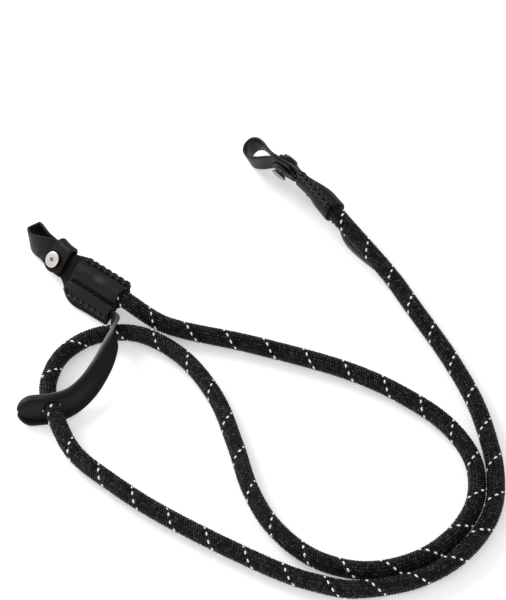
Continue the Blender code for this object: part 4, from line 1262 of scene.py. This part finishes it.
class STRAP_OT_stage(bpy.types.Operator):
    """Set up the floor, the soft lights and the view"""
    bl_idname = "strap.stage"
    bl_label = "Stage"

    def execute(self, context):
        looks = context.scene.stage_looks
        view = bpy.data.cameras.new("view")
        view.lens = looks.focal
        eye = bpy.data.objects.new("view", view)
        eye.location = looks.eye
        eye.rotation_euler = (looks.tilt, 0, 0)
        context.scene.collection.objects.link(eye)
        context.scene.camera = eye
        mesh = bpy.data.meshes.new("floor")
        span = 4.0
        mesh.from_pydata([(-span, -span, 0), (span, -span, 0), (span, span, 0), (-span, span, 0)], [],
                         [(0, 1, 2, 3)])
        pale = plain_material("Pale floor", looks.floor_colour, roughness=0.7, metallic=0.0, scale=3.0,
                              amount=0.01, depth=0.00001, glow=0.4)
        mesh.materials.append(pale)
        floor = bpy.data.objects.new("floor", mesh)
        context.scene.collection.objects.link(floor)
        world = bpy.data.worlds.new("studio")
        world.use_nodes = True
        world.node_tree.nodes["Background"].inputs["Color"].default_value = (1, 1, 1, 1)
        world.node_tree.nodes["Background"].inputs["Strength"].default_value = 0.55
        context.scene.world = world
        aim = Vector((0.03, -0.05, 0))
        for name, place, power in (("key", (-1.2, 1.1, 1.0), 22.0), ("fill", (-1.0, -0.9, 0.8), 3.0)):
            light = bpy.data.lights.new(name, "AREA")
            light.size = 0.8
            light.energy = power
            lamp = bpy.data.objects.new(name, light)
            lamp.location = place
            lamp.rotation_euler = (aim - Vector(place)).to_track_quat("-Z", "Y").to_euler()
            context.scene.collection.objects.link(lamp)
        context.scene.view_settings.view_transform = "Standard"
        return {"FINISHED"}


class STRAP_OT_rope(bpy.types.Operator):
    """Lay the rope: its core, the black braid and the white tracer"""
    bl_idname = "strap.rope"
    bl_label = "Braided rope"

    def execute(self, context):
        looks = context.scene.rope_looks
        black = yarn_material("Black yarn", looks.yarn_colour, roughness=0.28, spread=0.9)
        # the white yarn's glow is painted light, brightening the tracer past what the lamps give
        white = yarn_material("White yarn", looks.tracer_colour, roughness=0.60, spread=0.06, glow=0.22)
        inner = plain_material("Rope core", looks.yarn_colour, roughness=0.8, metallic=0.0, scale=900.0,
                               amount=0.4, depth=0.0001)
        line, along = braid_line()
        core, path = make_core(line, along, inner)
        s, angle, lean, tracer = float_columns(looks, along[-1])
        rng = np.random.default_rng(DRAW)
        thirds = np.minimum((s / along[-1] * 3).astype(int), 2)
        for name, chosen, material, slim in (
                *(("rope_braid_%d" % (k + 1), (thirds == k) & ~tracer, black, 1.0) for k in range(3)),
                ("rope_tracer", tracer, white, TRACER_WIDTH)):
            points, faces, uv, shade = braid_mesh(line, along, looks, slim, s[chosen], angle[chosen],
                                                  lean[chosen], rng)
            put_mesh(name, points, faces, material, uv, {"shade": shade})
        return {"FINISHED"}


class STRAP_OT_fittings(bpy.types.Operator):
    """Build the two leather fittings: band, sleeve, keeper and tail"""
    bl_idname = "strap.fittings"
    bl_label = "Leather fittings"

    def execute(self, context):
        looks = context.scene.leather_looks
        leather = leather_material("Black leather", looks, looks.edge_colour)
        # the tails' leather has a paler edge, partly a painted highlight
        tail_leather = leather_material("Tail leather with painted edge highlight", looks, looks.tail_edge_and_highlight_colour)
        line, _ = braid_line()
        for side in ("left", "right"):
            fitting = Fitting(side)
            make_band(fitting, looks, leather)
            make_sleeve(fitting, looks, leather)
            make_keeper(fitting, leather)
            make_tail(fitting, tail_leather, line)
        return {"FINISHED"}


class STRAP_OT_stitches(bpy.types.Operator):
    """Sew the sleeves: a whipped row, a row in the valley and a lower row"""
    bl_idname = "strap.stitches"
    bl_label = "Stitches"

    def execute(self, context):
        looks = context.scene.leather_looks
        waxed = plain_material("Waxed thread", looks.thread_colour, roughness=0.38, metallic=0.0,
                               scale=1500.0, amount=0.6, depth=0.00008, specular=0.3)
        for side in ("left", "right"):
            make_stitches(Fitting(side), looks, waxed)
        return {"FINISHED"}


class STRAP_OT_screws(bpy.types.Operator):
    """Turn the screws and the barrels that they go into"""
    bl_idname = "strap.screws"
    bl_label = "Screws"

    def execute(self, context):
        # Painted shade: the right head is the left one's steel made darker, and the barrels' steel is
        # darker still, for metal seen in shade
        head_steel, painted_shade_steel, painted_shade = (
            plain_material(name, colour, roughness, metallic=1.0, scale=700.0, amount=amount,
                           depth=0.00003)
            for name, colour, roughness, amount in (
                ("Satin steel", (0.82, 0.78, 0.75), 0.40, 0.10),
                ("Head steel with painted shade", (0.36, 0.34, 0.33), 0.45, 0.20),
                ("Barrel steel with painted shade", (0.10, 0.10, 0.10), 0.45, 0.20)))
        for side, head in (("left", head_steel), ("right", painted_shade_steel)):
            make_screw(Fitting(side), head, painted_shade)
        return {"FINISHED"}


class STRAP_PT_panel(bpy.types.Panel):
    """Lists the strap's pieces"""
    bl_label = "Strap"
    bl_idname = "STRAP_PT_panel"
    bl_space_type = "VIEW_3D"
    bl_region_type = "UI"
    bl_category = "Strap"

    def draw(self, context):
        for operator in OPERATORS:
            self.layout.operator(operator.bl_idname)


GROUPS = {"rope_looks": RopeLooks, "leather_looks": LeatherLooks, "stage_looks": StageLooks}
OPERATORS = (STRAP_OT_stage, STRAP_OT_rope, STRAP_OT_fittings, STRAP_OT_stitches, STRAP_OT_screws)


def register():
    """Add the sizes and looks to the scene, and the operators and their panel to Blender."""
    for name, group in GROUPS.items():
        bpy.utils.register_class(group)
        setattr(bpy.types.Scene, name, bpy.props.PointerProperty(type=group))
    for operator in OPERATORS:
        bpy.utils.register_class(operator)
    bpy.utils.register_class(STRAP_PT_panel)


def unregister():
    """Take them out again."""
    bpy.utils.unregister_class(STRAP_PT_panel)
    for operator in reversed(OPERATORS):
        bpy.utils.unregister_class(operator)
    for name, group in GROUPS.items():
        delattr(bpy.types.Scene, name)
        bpy.utils.unregister_class(group)


def main():
    """Build the whole strap and its stage."""
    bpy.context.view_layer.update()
    register()
    bpy.ops.strap.stage()
    bpy.ops.strap.rope()
    bpy.ops.strap.fittings()
    bpy.ops.strap.stitches()
    bpy.ops.strap.screws()


if __name__ == "__main__":
    main()
